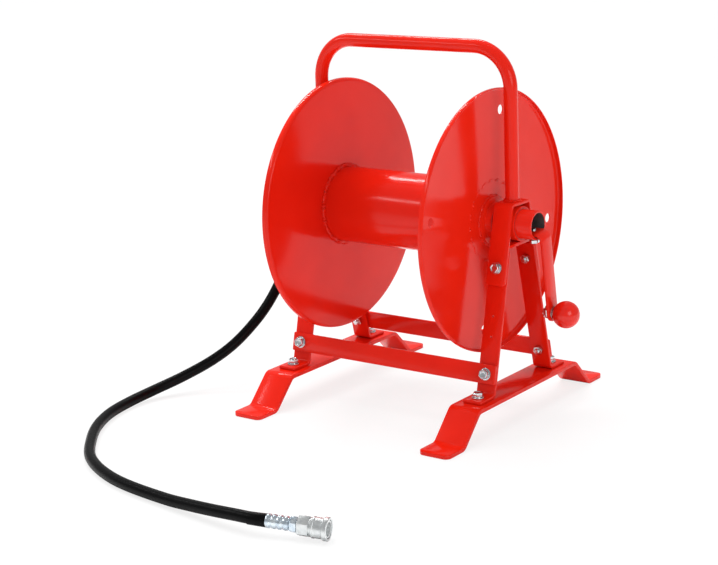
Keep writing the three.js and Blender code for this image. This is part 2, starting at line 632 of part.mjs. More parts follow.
// ---------- water way: swivel at the open end of the axle, pipe inside it, outlet in the drum ----------
const STEM_PLUG = 16; // how far the swivel stem reaches into the axle tube
const STEM_FLANGE_X = -AXLE_HALF - SEAT - 5;
const STEM_END_X = SWIVEL_X + STEM_R - 1;
const PIPE_START_X = -AXLE_HALF + STEM_PLUG + SEAT;

function swivelStem() {
  return onAxle(turned([
    [STEM_BORE, STEM_END_X], [STEM_R, STEM_END_X], [STEM_R, STEM_FLANGE_X],
    [AXLE_R, STEM_FLANGE_X], [AXLE_R, -AXLE_HALF - SEAT],
    [AXLE_R - AXLE_WALL - SEAT, -AXLE_HALF - SEAT],
    [AXLE_R - AXLE_WALL - SEAT, PIPE_START_X - SEAT], [STEM_BORE, PIPE_START_X - SEAT],
    [STEM_BORE, STEM_END_X],
  ], 32));
}

// The seal ring sits in a groove near the mouth of the swivel body.
const SEAL_X = STEM_FLANGE_X - 8;
const grooveR = STEM_R + RUN + SEAL_R;

function swivelBody() {
  const port = (r, from, to, segments = 24) =>
    place(rod(r, from, to, segments), vec(SWIVEL_X, 0, AXLE_Z), DOWN);
  const hex = place(hexagon(BODY_AF, 20, 32), vec(SWIVEL_X, 0, AXLE_Z), DOWN);
  const mouth = STEM_FLANGE_X - 2 * SEAT;
  return onAxle(rod(SWIVEL_R, SWIVEL_X - 11, mouth, 32))
    .add(port(11, 0, 22))
    .add(hex)
    .add(port(FERRULE_R + 0.6, 30, PORT_LENGTH - SEAT))
    .subtract(onAxle(rod(STEM_R + RUN, STEM_END_X - 2, mouth + 1, 32)))
    .subtract(onAxle(rod(grooveR, SEAL_X - SEAL_R / 2 - SEAT, SEAL_X + SEAL_R / 2 + SEAT, 32)))
    .subtract(onAxle(rod(STEM_BORE + 1, SWIVEL_X - 6, STEM_END_X, 24)))
    .subtract(port(STEM_BORE, 0, PORT_LENGTH + 1, 16));
}

const swivelSeal = () => onAxle(tube(
  grooveR - RUN, STEM_R + RUN, SEAL_X - SEAL_R / 2, SEAL_X + SEAL_R / 2, 32,
));

function waterPipe() {
  const end = OUTLET_X + PIPE_R;
  const nipple = place(
    hexagon(24, DRUM_R + 2, DRUM_R + 12), vec(OUTLET_X, 0, AXLE_Z), OUTLET,
  );
  return onAxle(rod(PIPE_R, PIPE_START_X, end, 32))
    .add(outletRod(OUTLET_R, 0, DRUM_R + OUTLET_PROUD, 24))
    .add(nipple)
    .subtract(onAxle(rod(PIPE_R - PIPE_WALL, PIPE_START_X - 1, end - PIPE_WALL, 24)))
    .subtract(outletRod(OUTLET_R - PIPE_WALL, 0, DRUM_R + OUTLET_PROUD + 1, 20));
}

add(reel, 'swivel_stem', swivelStem(), ZINC);
add(reel, 'water_pipe', waterPipe(), ZINC);
add(lead, 'swivel_body', swivelBody(), ZINC);
add(lead, 'swivel_seal', swivelSeal(), SEAL);

// ---------- lead hose and quick coupler ----------
function hose() {
  const route = new THREE.CatmullRomCurve3(HOSE_ROUTE.map((p) => vec(...p)), false, 'centripetal');
  return toSolid(new THREE.ExtrudeGeometry(disc(HOSE_R, 8), {
    steps: HOSE_STEPS, extrudePath: route, bevelEnabled: false,
  }));
}

const HOSE_END = vec(...HOSE_ROUTE[HOSE_ROUTE.length - 1]);
const onHose = (solid) => place(solid, HOSE_END, COUPLER_DIR);
const ADAPTER_AT = SEAT + FERRULE_L + SEAT;
const HEX_AT = ADAPTER_AT + ADAPTER_L;
const TUBE_AT = HEX_AT + BODY_L;
const SLEEVE_AT = TUBE_AT + SLEEVE_TRAVEL + SEAT;
const MOUTH_AT = SLEEVE_AT + COUPLER_SLEEVE_L;

function couplerBody() {
  return onHose(hexagon(ADAPTER_AF, ADAPTER_AT, HEX_AT + 1)
    .add(hexagon(BODY_AF, HEX_AT, TUBE_AT))
    .add(rod(COUPLER_TUBE_R, TUBE_AT - 1, MOUTH_AT - 1, 28))
    .subtract(rod(COUPLER_BORE, TUBE_AT + 4, MOUTH_AT, 24))
    .subtract(rod(STEM_BORE, ADAPTER_AT - 1, TUBE_AT + 5, 16)));
}

function couplerSleeve() {
  const bore = COUPLER_TUBE_R + RUN;
  const lip = MOUTH_AT - 6;
  return onHose(turned([
    [bore, SLEEVE_AT], [SLEEVE_OD_R, SLEEVE_AT], [SLEEVE_OD_R, lip],
    [SLEEVE_LIP_R, lip + 1], [SLEEVE_LIP_R, MOUTH_AT], [bore, MOUTH_AT], [bore, SLEEVE_AT],
  ], 28));
}

add(lead, 'hose', hose(), RUBBER);
add(lead, 'hose_ferrule', onHose(tube(FERRULE_R, STEM_BORE, SEAT, SEAT + FERRULE_L, 20)), ZINC);
add(lead, 'coupler_body', couplerBody(), ZINC);
add(lead, 'coupler_sleeve', couplerSleeve(), ZINC);

const hoseReel = new THREE.Group();
hoseReel.add(stand, reel, lead);
export default hoseReel;
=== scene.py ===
# %% [markdown]
# # A hand-cranked hose reel on its stand
# The reel is red enamelled steel: two pressed discs on a tube, turning in a bolted A-frame of
# flat bar, with a bent tube to carry it by. A short black hose ends in a zinc quick coupler.
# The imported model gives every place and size, so each piece here is modelled straight where it
# belongs, in metres, with X along the axle, Y to the rear and Z up.

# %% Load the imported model
import bpy
from math import asin, atan2, cos, pi, radians, sin, sqrt, tan
from mathutils import Matrix, Vector


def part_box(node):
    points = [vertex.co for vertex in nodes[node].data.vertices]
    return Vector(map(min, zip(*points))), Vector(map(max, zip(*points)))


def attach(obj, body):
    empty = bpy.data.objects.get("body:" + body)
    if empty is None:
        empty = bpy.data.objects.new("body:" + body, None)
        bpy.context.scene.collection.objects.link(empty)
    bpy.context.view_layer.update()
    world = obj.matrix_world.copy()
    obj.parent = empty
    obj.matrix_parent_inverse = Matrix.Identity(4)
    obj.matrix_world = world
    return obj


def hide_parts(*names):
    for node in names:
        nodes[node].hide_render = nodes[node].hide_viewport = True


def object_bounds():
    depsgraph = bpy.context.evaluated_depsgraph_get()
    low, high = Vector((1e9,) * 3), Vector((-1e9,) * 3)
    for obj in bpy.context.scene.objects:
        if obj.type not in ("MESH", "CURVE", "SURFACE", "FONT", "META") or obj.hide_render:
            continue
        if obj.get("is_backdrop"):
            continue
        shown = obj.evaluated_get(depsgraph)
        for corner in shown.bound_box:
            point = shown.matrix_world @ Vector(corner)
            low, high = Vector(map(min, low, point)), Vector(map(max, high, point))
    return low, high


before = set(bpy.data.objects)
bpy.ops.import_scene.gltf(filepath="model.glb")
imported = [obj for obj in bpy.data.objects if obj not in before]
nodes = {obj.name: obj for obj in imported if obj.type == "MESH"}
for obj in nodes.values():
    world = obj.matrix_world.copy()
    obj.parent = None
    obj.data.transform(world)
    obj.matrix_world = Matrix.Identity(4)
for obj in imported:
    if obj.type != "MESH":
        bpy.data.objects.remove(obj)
cad_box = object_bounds()
scene = bpy.context.scene
print("the packed model has", len(nodes), "nodes, and its box is", cad_box)

# %% [markdown]
# ## The camera
# The reel is seen from its front right corner, a little above, through a long lens from about
# two and a half metres, which keeps its bars nearly parallel. The camera stands on an arc
# round the reel, so an azimuth, a height angle, a small roll and a distance place it. It comes
# first because the hose has to lie where this view takes it in.

# %% Place the camera
VIEW_AZIMUTH = radians(36.659)
VIEW_HEIGHT = radians(14.397)
VIEW_ROLL = radians(-2.157)
VIEW_DISTANCE = 2.6508
VIEW_CENTRE = Vector((0, 0, 0.25))
VIEW_ASIDE, VIEW_BELOW = -0.08597, -0.07051  # the camera's own left and down, in metres
LENS_MM, SENSOR_MM = 89.82, 36

turned = (
    Matrix.Rotation(VIEW_AZIMUTH, 4, "Z")
    @ Matrix.Rotation(pi / 2 - VIEW_HEIGHT, 4, "X")
    @ Matrix.Rotation(VIEW_ROLL, 4, "Z")
)
beside = turned @ Vector((VIEW_ASIDE, VIEW_BELOW, VIEW_DISTANCE))
lens = bpy.data.cameras.new("camera")
lens.sensor_width = SENSOR_MM
lens.lens = LENS_MM
camera = bpy.data.objects.new("camera", lens)
camera.matrix_world = Matrix.Translation(VIEW_CENTRE + beside) @ turned
scene.collection.objects.link(camera)
scene.camera = camera
bpy.context.view_layer.update()
print("the camera stands at", tuple(round(v, 3) for v in camera.location))

# %% [markdown]
# ## Small tools
# Everything that follows is modelled as by hand. These helpers save repeating the same few
# clicks: choose what is selected, slide it, turn it, push out new faces from it, and finish a
# mesh with clean normals, rounded edges and smooth shading. With no window the turn operator
# runs the other way, so its sign is changed here once.

# %% Selecting and moving
MM = 0.001


def clear_selection():
    if bpy.context.object and bpy.context.object.mode != "OBJECT":
        bpy.ops.object.mode_set(mode="OBJECT")
    bpy.ops.object.select_all(action="DESELECT")


def adopt(name):
    """Names the new primitive, puts its place into its mesh and opens it, all selected."""
    piece = bpy.context.object
    piece.name = piece.data.name = name
    bpy.ops.object.transform_apply(location=True, rotation=True, scale=True)
    bpy.ops.object.mode_set(mode="EDIT")
    bpy.ops.mesh.select_mode(type="VERT")
    bpy.ops.mesh.select_all(action="SELECT")
    return piece


def work_on(piece):
    clear_selection()
    bpy.context.view_layer.objects.active = piece
    piece.select_set(True)


def pick(piece, kind, test):
    """Opens a piece with only the vertices, edges or faces that pass a test selected."""
    work_on(piece)
    mesh = piece.data
    for group in (mesh.vertices, mesh.edges, mesh.polygons):
        group.foreach_set("select", [False] * len(group))
    kinds = ("verts", "edges", "faces")
    bpy.context.tool_settings.mesh_select_mode = [k == kind for k in kinds]
    for edge in mesh.edges if kind == "edges" else ():
        edge.select = test(*(mesh.vertices[i].co for i in edge.vertices))
    for face in mesh.polygons if kind == "faces" else ():
        face.select = test(face.center, face.normal)
    for vertex in mesh.vertices if kind == "verts" else ():
        vertex.select = test(vertex.co)
    bpy.ops.object.mode_set(mode="EDIT")


def pick_all(piece):
    work_on(piece)
    bpy.ops.object.mode_set(mode="EDIT")
    bpy.ops.mesh.select_all(action="SELECT")


def slide(way):
    bpy.ops.transform.translate(value=way)


def turn(angle, axis, centre):
    bpy.ops.transform.rotate(value=-angle, orient_axis=axis, center_override=centre)


def push(way):
    bpy.ops.mesh.extrude_region_move(TRANSFORM_OT_translate={"value": way})


# %% Finishing a mesh
def apply(piece, kind, **settings):
    """Adds one modifier and applies it."""
    work_on(piece)
    added = piece.modifiers.new(kind.lower(), kind)
    for setting, value in settings.items():
        setattr(added, setting, value)
    bpy.ops.object.modifier_apply(modifier=added.name)


def finish(piece, rounding=0.0, segments=2, sharp=35):
    """Merges doubles, turns the faces outwards, rounds the sharp edges and smooths the rest."""
    pick_all(piece)
    bpy.ops.mesh.remove_doubles(threshold=1e-6)
    bpy.ops.mesh.normals_make_consistent(inside=False)
    bpy.ops.object.mode_set(mode="OBJECT")
    if rounding:
        apply(
            piece, "BEVEL", width=rounding, segments=segments,
            limit_method="ANGLE", angle_limit=radians(40),
        )
    work_on(piece)
    bpy.ops.object.shade_smooth_by_angle(angle=radians(sharp))
    return piece


def copy_of(piece, name, matrix):
    """A copy with its own mesh, moved by a matrix that goes into the mesh."""
    work_on(piece)
    bpy.ops.object.duplicate()
    made = bpy.context.object
    made.name = made.data.name = name
    made.matrix_world = matrix
    bpy.ops.object.transform_apply(location=True, rotation=True, scale=True)
    return made


def moved(piece, matrix):
    """Moves a piece and keeps the move in its mesh."""
    work_on(piece)
    piece.matrix_world = matrix
    bpy.ops.object.transform_apply(location=True, rotation=True, scale=True)
    return piece


def join(name, pieces):
    """One object from several, each kept as its own shell."""
    work_on(pieces[0])
    for piece in pieces:
        piece.select_set(True)
    bpy.ops.object.join()
    pieces[0].name = pieces[0].data.name = name
    return pieces[0]


def remove(piece):
    bpy.data.objects.remove(piece, do_unlink=True)


def cut(piece, tool):
    """Cuts a closed tool out of a piece and takes the tool away."""
    apply(piece, "BOOLEAN", operation="DIFFERENCE", object=tool, solver="EXACT")
    remove(tool)
    return piece


def drill(piece, matrix, radius, depth, sides=28):
    """Drills a round hole, centred on a matrix and along its Z."""
    clear_selection()
    bpy.ops.mesh.primitive_cylinder_add(vertices=sides, radius=radius, depth=depth)
    bit = adopt("bit")
    bpy.ops.object.mode_set(mode="OBJECT")
    return cut(piece, moved(bit, matrix))


# %% [markdown]
# ### Bars, tubes and turned pieces
# Most of the reel is made in three ways. A bar or tube is a flat section that is pushed along
# a line and swung round each bend, as a bending machine does it, so its thickness stays true.
# A turned piece is half its outline, drawn vertex by vertex and spun round its axis, as on a
# lathe. A hexagon is a six-sided prism with its corners eased.

# %% Bend a section along a line
def bend_along(name, corners, radius, section, steps=6):
    """A section pushed along corners in (y, z), with one middle radius for each bend.

    A section is (width, thickness) for flat bar or (radius,) for a rod."""
    clear_selection()
    if len(section) == 2:
        bpy.ops.mesh.primitive_plane_add(size=1, rotation=(pi / 2, 0, 0))
        piece = adopt(name)
        bpy.ops.transform.resize(value=(section[0], 1, section[1]))
    else:
        bpy.ops.mesh.primitive_circle_add(
            vertices=40, radius=section[0], fill_type="NGON", rotation=(pi / 2, 0, 0)
        )
        piece = adopt(name)
    line = [Vector((0, y, z)) for y, z in corners]
    way = (line[1] - line[0]).normalized()
    turn(atan2(way.z, way.y), "X", (0, 0, 0))
    slide(line[0])
    here = line[0]
    for before, corner, after in zip(line, line[1:], line[2:]):
        into = (corner - before).normalized()
        out = (after - corner).normalized()
        angle = atan2(into.y * out.z - into.z * out.y, into.dot(out))
        reach = radius * tan(abs(angle) / 2)
        start = corner - into * reach
        push(start - here)
        left = Vector((0, -into.z, into.y)) * (radius if angle > 0 else -radius)
        for _ in range(steps):
            push((0, 0, 0))
            turn(angle / steps, "X", start + left)
        here = corner + out * reach
    push(line[-1] - here)
    bpy.ops.object.mode_set(mode="OBJECT")
    return piece


# %% Draw an outline and spin it
def draw_line(name, points):
    """A line of edges, drawn one vertex after another."""
    clear_selection()
    bpy.ops.mesh.primitive_plane_add(size=MM)
    piece = adopt(name)
    bpy.ops.mesh.merge(type="CENTER")
    slide(points[0])
    for here, there in zip(points, points[1:]):
        push(there - here)
    return piece


def spin(name, outline, steps=64, closed=True, rounding=0.0, sharp=35):
    """An outline of (radius, height) spun round Z. A closed outline ends where it starts."""
    points = [Vector((r, 0, h)) for r, h in outline]
    if closed:
        points.append(points[0].copy())
    piece = draw_line(name, points)
    bpy.ops.mesh.select_all(action="SELECT")
    bpy.ops.mesh.remove_doubles(threshold=1e-7)
    bpy.ops.mesh.spin(
        steps=steps, angle=2 * pi, center=(0, 0, 0), axis=(0, 0, 1), use_auto_merge=True
    )
    bpy.ops.object.mode_set(mode="OBJECT")
    return finish(piece, rounding, 2, sharp)


def hexagon(name, across, low, high, easing=0.5 * MM):
    """A six-sided prism along Z between two heights, with its corners eased."""
    clear_selection()
    bpy.ops.mesh.primitive_cylinder_add(
        vertices=6, radius=across / 2 / cos(pi / 6), depth=high - low,
        location=(0, 0, (low + high) / 2),
    )
    piece = adopt(name)
    return finish(piece, easing, 2, 30)


# %% Put a piece on an axis
AXLE_Z = (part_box("axle_tube")[0][2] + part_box("axle_tube")[1][2]) / 2
AXLE = Vector((0, 0, AXLE_Z))


def along(way, place):
    """The matrix that takes +Z to a direction and the origin to a place."""
    return Matrix.Translation(place) @ Vector(way).to_track_quat("Z", "Y").to_matrix().to_4x4()


ON_AXLE = along((1, 0, 0), AXLE)
HALF_ROUND = Matrix.Rotation(pi, 4, "Z")
print("the axle is", round(AXLE_Z, 4), "m above the floor")

# %% [markdown]
# ## The lead hose
# The hose is a fixed length of smooth black rubber, 16 mm thick. It hangs straight down from
# the swivel behind the left disc, runs out to the left, touches the floor in one wide loose
# bend and comes back to the front. It is stiff, so it arches a finger's width off the floor
# before its coupler, whose lip rests on the floor. A curve is the right tool: one smooth line
# through the points of its route, with a round section.

# %% Lay the hose
HOSE_ROUTE = [
    (-244, 0, 232.6), (-244, 0, 218), (-244.6, -2, 200), (-247.5, -8, 172), (-254.6, -22, 143),
    (-264, -38, 116), (-275, -57, 92), (-289, -92, 64), (-306, -126, 44), (-331, -170, 25),
    (-350, -217, 13), (-353, -267, 8.6), (-342, -319, 8.3), (-319, -369, 8.3),
    (-284, -418, 8.3), (-226, -478, 8.3), (-143, -520, 8.3), (-31.4, -541.6, 9.6),
    (16.8, -547.7, 12.6), (61.4, -552.7, 16.2), (96, -554.8, 18.8), (120, -554.8, 19.7),
    (135.1, -552.5, 19.54), (145.6, -549.2, 19),
]
HOSE_R = 8 * MM


def smooth_through(points, cuts):
    """Points on a centripetal curve through the given ones, which never swings wide of them."""
    ends = [2 * points[0] - points[1], *points, 2 * points[-1] - points[-2]]
    line = []
    for a, b, c, d in zip(ends, ends[1:], ends[2:], ends[3:]):
        ab, bc, cd = (sqrt((q - p).length) for p, q in ((a, b), (b, c), (c, d)))
        leave = ((b - a) / ab - (c - a) / (ab + bc) + (c - b) / bc) * bc
        arrive = ((c - b) / bc - (d - b) / (bc + cd) + (d - c) / cd) * bc
        for k in range(cuts):
            t = k / cuts
            line.append(
                b * (2 * t**3 - 3 * t**2 + 1) + leave * (t**3 - 2 * t**2 + t)
                + c * (3 * t**2 - 2 * t**3) + arrive * (t**3 - t**2)
            )
    return [*line, points[-1]]


hose_line = smooth_through([Vector(p) * MM for p in HOSE_ROUTE], 8)
hose_curve = bpy.data.curves.new("lead_hose", "CURVE")
hose_curve.dimensions = "3D"
hose_curve.bevel_depth = HOSE_R
hose_curve.bevel_resolution = 8
hose_curve.use_fill_caps = True
run = hose_curve.splines.new("POLY")
run.points.add(len(hose_line) - 1)
for point, place in zip(run.points, hose_line):
    point.co = (*place, 1)
run.use_smooth = True
lead_hose = bpy.data.objects.new("lead_hose", hose_curve)
scene.collection.objects.link(lead_hose)

# %% [markdown]
# ## Finishes
# Each finish is one procedural material. Its colours are ordinary sRGB hex values, turned to
# the linear values that shaders use by one function, and every node is added by another. The
# patterns read Object coordinates in metres, so a scale of 200 gives a pattern 5 mm across.

# %% Colours and nodes
def colour(hex_value):
    channels = [(hex_value >> shift & 255) / 255 for shift in (16, 8, 0)]
    return (*((c / 12.92 if c <= 0.04045 else ((c + 0.055) / 1.055) ** 2.4) for c in channels), 1)


def add_node(finish_, kind, settings=None, values=None, links=None):
    """One node: its settings, its plain input values and what its inputs are linked from."""
    made = finish_.node_tree.nodes.new(kind)
    for name, value in (settings or {}).items():
        setattr(made, name, value)
    for name, value in (values or {}).items():
        made.inputs[name].default_value = value
    for name, socket in (links or {}).items():
        finish_.node_tree.links.new(socket, made.inputs[name])
    return made


def new_finish(name, **values):
    """An empty material with one Principled shader, whose plain values are set here."""
    made = bpy.data.materials.new(name)
    made.use_nodes = True
    shader = made.node_tree.nodes["Principled BSDF"]
    for socket, value in values.items():
        shader.inputs[socket.replace("_", " ")].default_value = value
    place = add_node(made, "ShaderNodeTexCoord").outputs["Object"]
    return made, shader, place


def link(finish_, output, shader, socket):
    finish_.node_tree.links.new(output, shader.inputs[socket])


def noise(finish_, place, size, detail=2.0):
    """Cloudy noise whose patches are about size metres across."""
    return add_node(
        finish_, "ShaderNodeTexNoise", values={"Scale": 1 / size, "Detail": detail},
        links={"Vector": place},
    ).outputs["Fac"]


def between(finish_, fac, low, high):
    """Spreads a 0.35 to 0.65 pattern between two values."""
    return add_node(
        finish_, "ShaderNodeMapRange",
        values={"From Min": 0.35, "From Max": 0.65, "To Min": low, "To Max": high},
        links={"Value": fac},
    ).outputs["Result"]


def two_tone(finish_, fac, first, second):
    made = add_node(finish_, "ShaderNodeMix", {"data_type": "RGBA"})
    made.inputs[6].default_value = colour(first)
    made.inputs[7].default_value = colour(second)
    finish_.node_tree.links.new(fac, made.inputs["Factor"])
    return made.outputs[2]


def bumps(finish_, height, strength, depth):
    """A bump of a depth in metres."""
    return add_node(
        finish_, "ShaderNodeBump", values={"Strength": strength, "Distance": depth},
        links={"Height": height},
    ).outputs["Normal"]


print("red enamel in linear light:", [round(c, 3) for c in colour(0xE2231C)])

# %% [markdown]
# ### Red enamel
# The steel is dipped or sprayed in a glossy stoving enamel: a deep orange-red coat under its
# own clear skin. It dries with a very slight orange peel, a few millimetres from wave to wave,
# which softens the edge of each reflection, and its gloss varies a little over a hand's width.

# %% Make the enamel
red_enamel, shader, place = new_finish(
    "glossy_red_stoving_enamel", IOR=1.5, Specular_IOR_Level=0.2
)
cloud = between(red_enamel, noise(red_enamel, place, 90 * MM), 0, 1)
link(red_enamel, two_tone(red_enamel, cloud, 0xE6220F, 0xDF1F0E), shader, "Base Color")
gloss = between(red_enamel, noise(red_enamel, place, 60 * MM, 1), 0.13, 0.17)
link(red_enamel, gloss, shader, "Roughness")
peel = noise(red_enamel, place, 4 * MM, 1)
link(red_enamel, bumps(red_enamel, peel, 0.06, 0.12 * MM), shader, "Normal")

# %% [markdown]
# ### Zinc, nickel and bare steel
# The bolts are bright zinc plate: a cool silver whose passivated film tints it from blue to
# faintly straw. The coupler is satin nickel on turned brass, greyer and smoother, with the
# fine rings that the lathe left. The crimped ferrule and its nut are blue-white zinc.

# %% Make the plated finishes
bright_zinc, shader, place = new_finish("bright_zinc_plate", Metallic=1.0)
film = between(bright_zinc, noise(bright_zinc, place, 6 * MM, 3), 0, 1)
link(bright_zinc, two_tone(bright_zinc, film, 0xD9DCDD, 0xC4C9CF), shader, "Base Color")
rubbed = noise(bright_zinc, place, 2 * MM, 4)
link(bright_zinc, between(bright_zinc, rubbed, 0.1, 0.22), shader, "Roughness")
link(bright_zinc, bumps(bright_zinc, rubbed, 0.15, 0.08 * MM), shader, "Normal")

blue_zinc, shader, place = new_finish("blue_white_zinc_plate", Metallic=1.0)
film = between(blue_zinc, noise(blue_zinc, place, 7 * MM, 3), 0, 1)
link(blue_zinc, two_tone(blue_zinc, film, 0xE0E9EF, 0xC0CEDA), shader, "Base Color")
rubbed = noise(blue_zinc, place, 3 * MM, 4)
link(blue_zinc, between(blue_zinc, rubbed, 0.18, 0.38), shader, "Roughness")
link(blue_zinc, bumps(blue_zinc, rubbed, 0.12, 0.08 * MM), shader, "Normal")

satin_nickel, shader, place = new_finish("satin_nickel_plate", Metallic=1.0)
film = between(satin_nickel, noise(satin_nickel, place, 9 * MM, 2), 0, 1)
link(satin_nickel, two_tone(satin_nickel, film, 0xDFE2E2, 0xCDD1D2), shader, "Base Color")
grain = noise(satin_nickel, place, 1.2 * MM, 4)
link(satin_nickel, between(satin_nickel, grain, 0.36, 0.48), shader, "Roughness")
link(satin_nickel, bumps(satin_nickel, grain, 0.12, 0.05 * MM), shader, "Normal")

# %% [markdown]
# ### Rubber, plastic and the painted shade in the tube
# The hose cover is extruded black rubber: nearly black, smooth and half glossy, with a faint
# cloth print of the wrap under it. The knob is compression-moulded phenolic resin, a harder and
# shinier red than the enamel. The bush in each bearing is nylon, and took the red spray too.
# The inside of the axle tube is painted near black: a painted shade that stands for the shade deep
# in its bore.

# %% Make the rubber, the plastics and the painted shade for the bore
black_rubber, shader, place = new_finish(
    "smooth_black_hose_rubber", IOR=1.52, Specular_IOR_Level=0.08
)
dust = between(black_rubber, noise(black_rubber, place, 30 * MM, 3), 0, 1)
link(black_rubber, two_tone(black_rubber, dust, 0x030304, 0x070708), shader, "Base Color")
skin = noise(black_rubber, place, 3 * MM, 3)
link(black_rubber, between(black_rubber, skin, 0.3, 0.42), shader, "Roughness")
link(black_rubber, bumps(black_rubber, skin, 0.15, 0.1 * MM), shader, "Normal")

red_knob, shader, place = new_finish("moulded_red_phenolic", IOR=1.6, Specular_IOR_Level=0.3)
swirl = between(red_knob, noise(red_knob, place, 14 * MM, 2), 0, 1)
link(red_knob, two_tone(red_knob, swirl, 0xE21E0E, 0xD81B0E), shader, "Base Color")
link(red_knob, between(red_knob, noise(red_knob, place, 8 * MM, 3), 0.1, 0.18), shader, "Roughness")

sprayed_nylon, shader, place = new_finish("red_sprayed_nylon", IOR=1.53)
worn = between(sprayed_nylon, noise(sprayed_nylon, place, 3 * MM, 3), 0, 1)
link(sprayed_nylon, two_tone(sprayed_nylon, worn, 0xCC2019, 0xB51B17), shader, "Base Color")
link(sprayed_nylon, between(sprayed_nylon, worn, 0.4, 0.55), shader, "Roughness")

# painted shade: a near-black colour with a faint mottle, standing for the shade deep inside the
# axle tube
painted_bore_shade, shader, place = new_finish("painted_shade_inside_tube", IOR=2.0)
shade_mottle = between(painted_bore_shade, noise(painted_bore_shade, place, 5 * MM, 3), 0, 1)
link(painted_bore_shade, two_tone(painted_bore_shade, shade_mottle, 0x1B1112, 0x2A1616), shader, "Base Color")
link(painted_bore_shade, between(painted_bore_shade, shade_mottle, 0.5, 0.65), shader, "Roughness")

seal_rubber, shader, place = new_finish("matt_nitrile_rubber", IOR=1.52)
grain = between(seal_rubber, noise(seal_rubber, place, 2 * MM, 3), 0, 1)
link(seal_rubber, two_tone(seal_rubber, grain, 0x161617, 0x1F1F20), shader, "Base Color")
link(seal_rubber, between(seal_rubber, grain, 0.6, 0.75), shader, "Roughness")
print("finishes:", [m.name for m in bpy.data.materials if m.use_nodes])

# %% [markdown]
# ### Which piece gets which finish
# One call gives a finished piece its material and the body that it moves with, and hides the
# imported nodes that it stands for.

# %% Hand a piece over
made_pieces = []


def hand_over(piece, finish_, body, *stands_for):
    piece.data.materials.clear()
    piece.data.materials.append(finish_)
    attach(piece, body)
    if stands_for:
        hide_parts(*stands_for)
    made_pieces.append(piece)
    return piece


def centre_of(node):
    low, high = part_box(node)
    return (Vector(low) + Vector(high)) / 2


hand_over(lead_hose, black_rubber, "stand", "hose")

# %% [markdown]
# ## The feet
# Each foot is one length of 50 x 6 mm flat bar, cranked up between its two pads so that it
# bridges uneven ground, with the corners of the pads rounded off. It is a flat section pushed
# along its side view. Only its two ends then need their corner edges rounded.

# %% Bend and round the feet
SIDES = (("right", 1), ("left", -1))
ENDS = (("front", -1), ("rear", 1))
FOOT_T = 6 * MM
BAR_T = 4.5 * MM
LEG_W = 30 * MM
GAP = 0.3 * MM
low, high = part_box("foot_bar_right")
FOOT_W = high[0] - low[0]
FOOT_END = high[1]
FOOT_TOP = high[2]
RAMP_TOP, RAMP_FOOT = 134 * MM, 175.5 * MM
STAND_HALF = centre_of("foot_bar_right").x


def round_corners(piece, test, radius, segments=6):
    """Rounds the edges that pass a test, which are the corners of a plate."""
    pick(piece, "edges", test)
    bpy.ops.mesh.bevel(offset=radius, offset_type="OFFSET", segments=segments, profile=0.5)
    bpy.ops.object.mode_set(mode="OBJECT")


foot = bend_along(
    "foot",
    [(-FOOT_END, FOOT_T / 2), (-RAMP_FOOT, FOOT_T / 2), (-RAMP_TOP, FOOT_TOP - FOOT_T / 2),
     (RAMP_TOP, FOOT_TOP - FOOT_T / 2), (RAMP_FOOT, FOOT_T / 2), (FOOT_END, FOOT_T / 2)],
    12 * MM, (FOOT_W, FOOT_T), 8,
)
round_corners(
    foot, lambda a, b: abs(a.y) > FOOT_END - MM and (a - b).xy.length < 1e-5, 9 * MM
)
finish(foot, 0.7 * MM)
for side_name, side in SIDES:
    made = copy_of(foot, f"foot_{side_name}", Matrix.Translation((side * STAND_HALF, 0, 0)))
    hand_over(made, red_enamel, "stand", f"foot_bar_{side_name}")
remove(foot)
print("a foot is", round(2 * FOOT_END, 3), "m long and its bridge", round(FOOT_TOP, 3), "m high")

# %% [markdown]
# ## The legs
# A leg is 30 x 4.5 mm flat bar: a short tab lies on the foot, then it leans in towards the axle
# by 13 degrees. The two front legs keep two small spare holes. All four are one bent bar,
# turned round for the rear and moved to its side.

# %% Bend the legs
LEAN = radians(13.06)
LEG_FOOT_Y = 79 * MM
SPARE_HOLES = (131.6 * MM, 160 * MM)
DRILL_REACH = 20 * MM
low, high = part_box("leg_front_right")
TAB_Z = low[2] + BAR_T / 2
TAB_END = -low[1]
leg_top = high[2] - BAR_T / 2 * sin(LEAN)


def leg_mid_y(z):
    return LEG_FOOT_Y - (z - TAB_Z) * tan(LEAN)


def outward(end):
    """The direction that a leg's face looks in, at the front or the rear."""
    return Vector((0, end * cos(LEAN), sin(LEAN)))


leg = bend_along(
    "leg", [(TAB_END, TAB_Z), (LEG_FOOT_Y, TAB_Z), (leg_mid_y(leg_top), leg_top)],
    7 * MM, (LEG_W, BAR_T),
)
round_corners(leg, lambda a, b: a.y > TAB_END - MM and (a - b).xy.length < 1e-5, 2 * MM, 3)
finish(leg, 0.6 * MM)
for end_name, end in ENDS:
    for side_name, side in SIDES:
        place_ = Matrix.Translation((side * STAND_HALF, 0, 0))
        made = copy_of(leg, f"{end_name}_leg_{side_name}", place_ @ (
            HALF_ROUND if end < 0 else Matrix.Identity(4)
        ))
        if end < 0:
            for z in SPARE_HOLES:
                through = along(outward(end), (side * STAND_HALF, end * leg_mid_y(z), z))
                drill(made, through, 2 * MM, DRILL_REACH, 20)
        hand_over(made, red_enamel, "stand", f"leg_{end_name}_{side_name}")
remove(leg)
print("a leg stands", round(leg_top - TAB_Z, 3), "m high over its tab")

# %% [markdown]
# ## The cross bars
# Two bars of 28 x 4.5 mm tie the sides together, bolted flat on the outer faces of the legs, so
# they lean with them. Each starts as a small plane that is pushed from end to end.

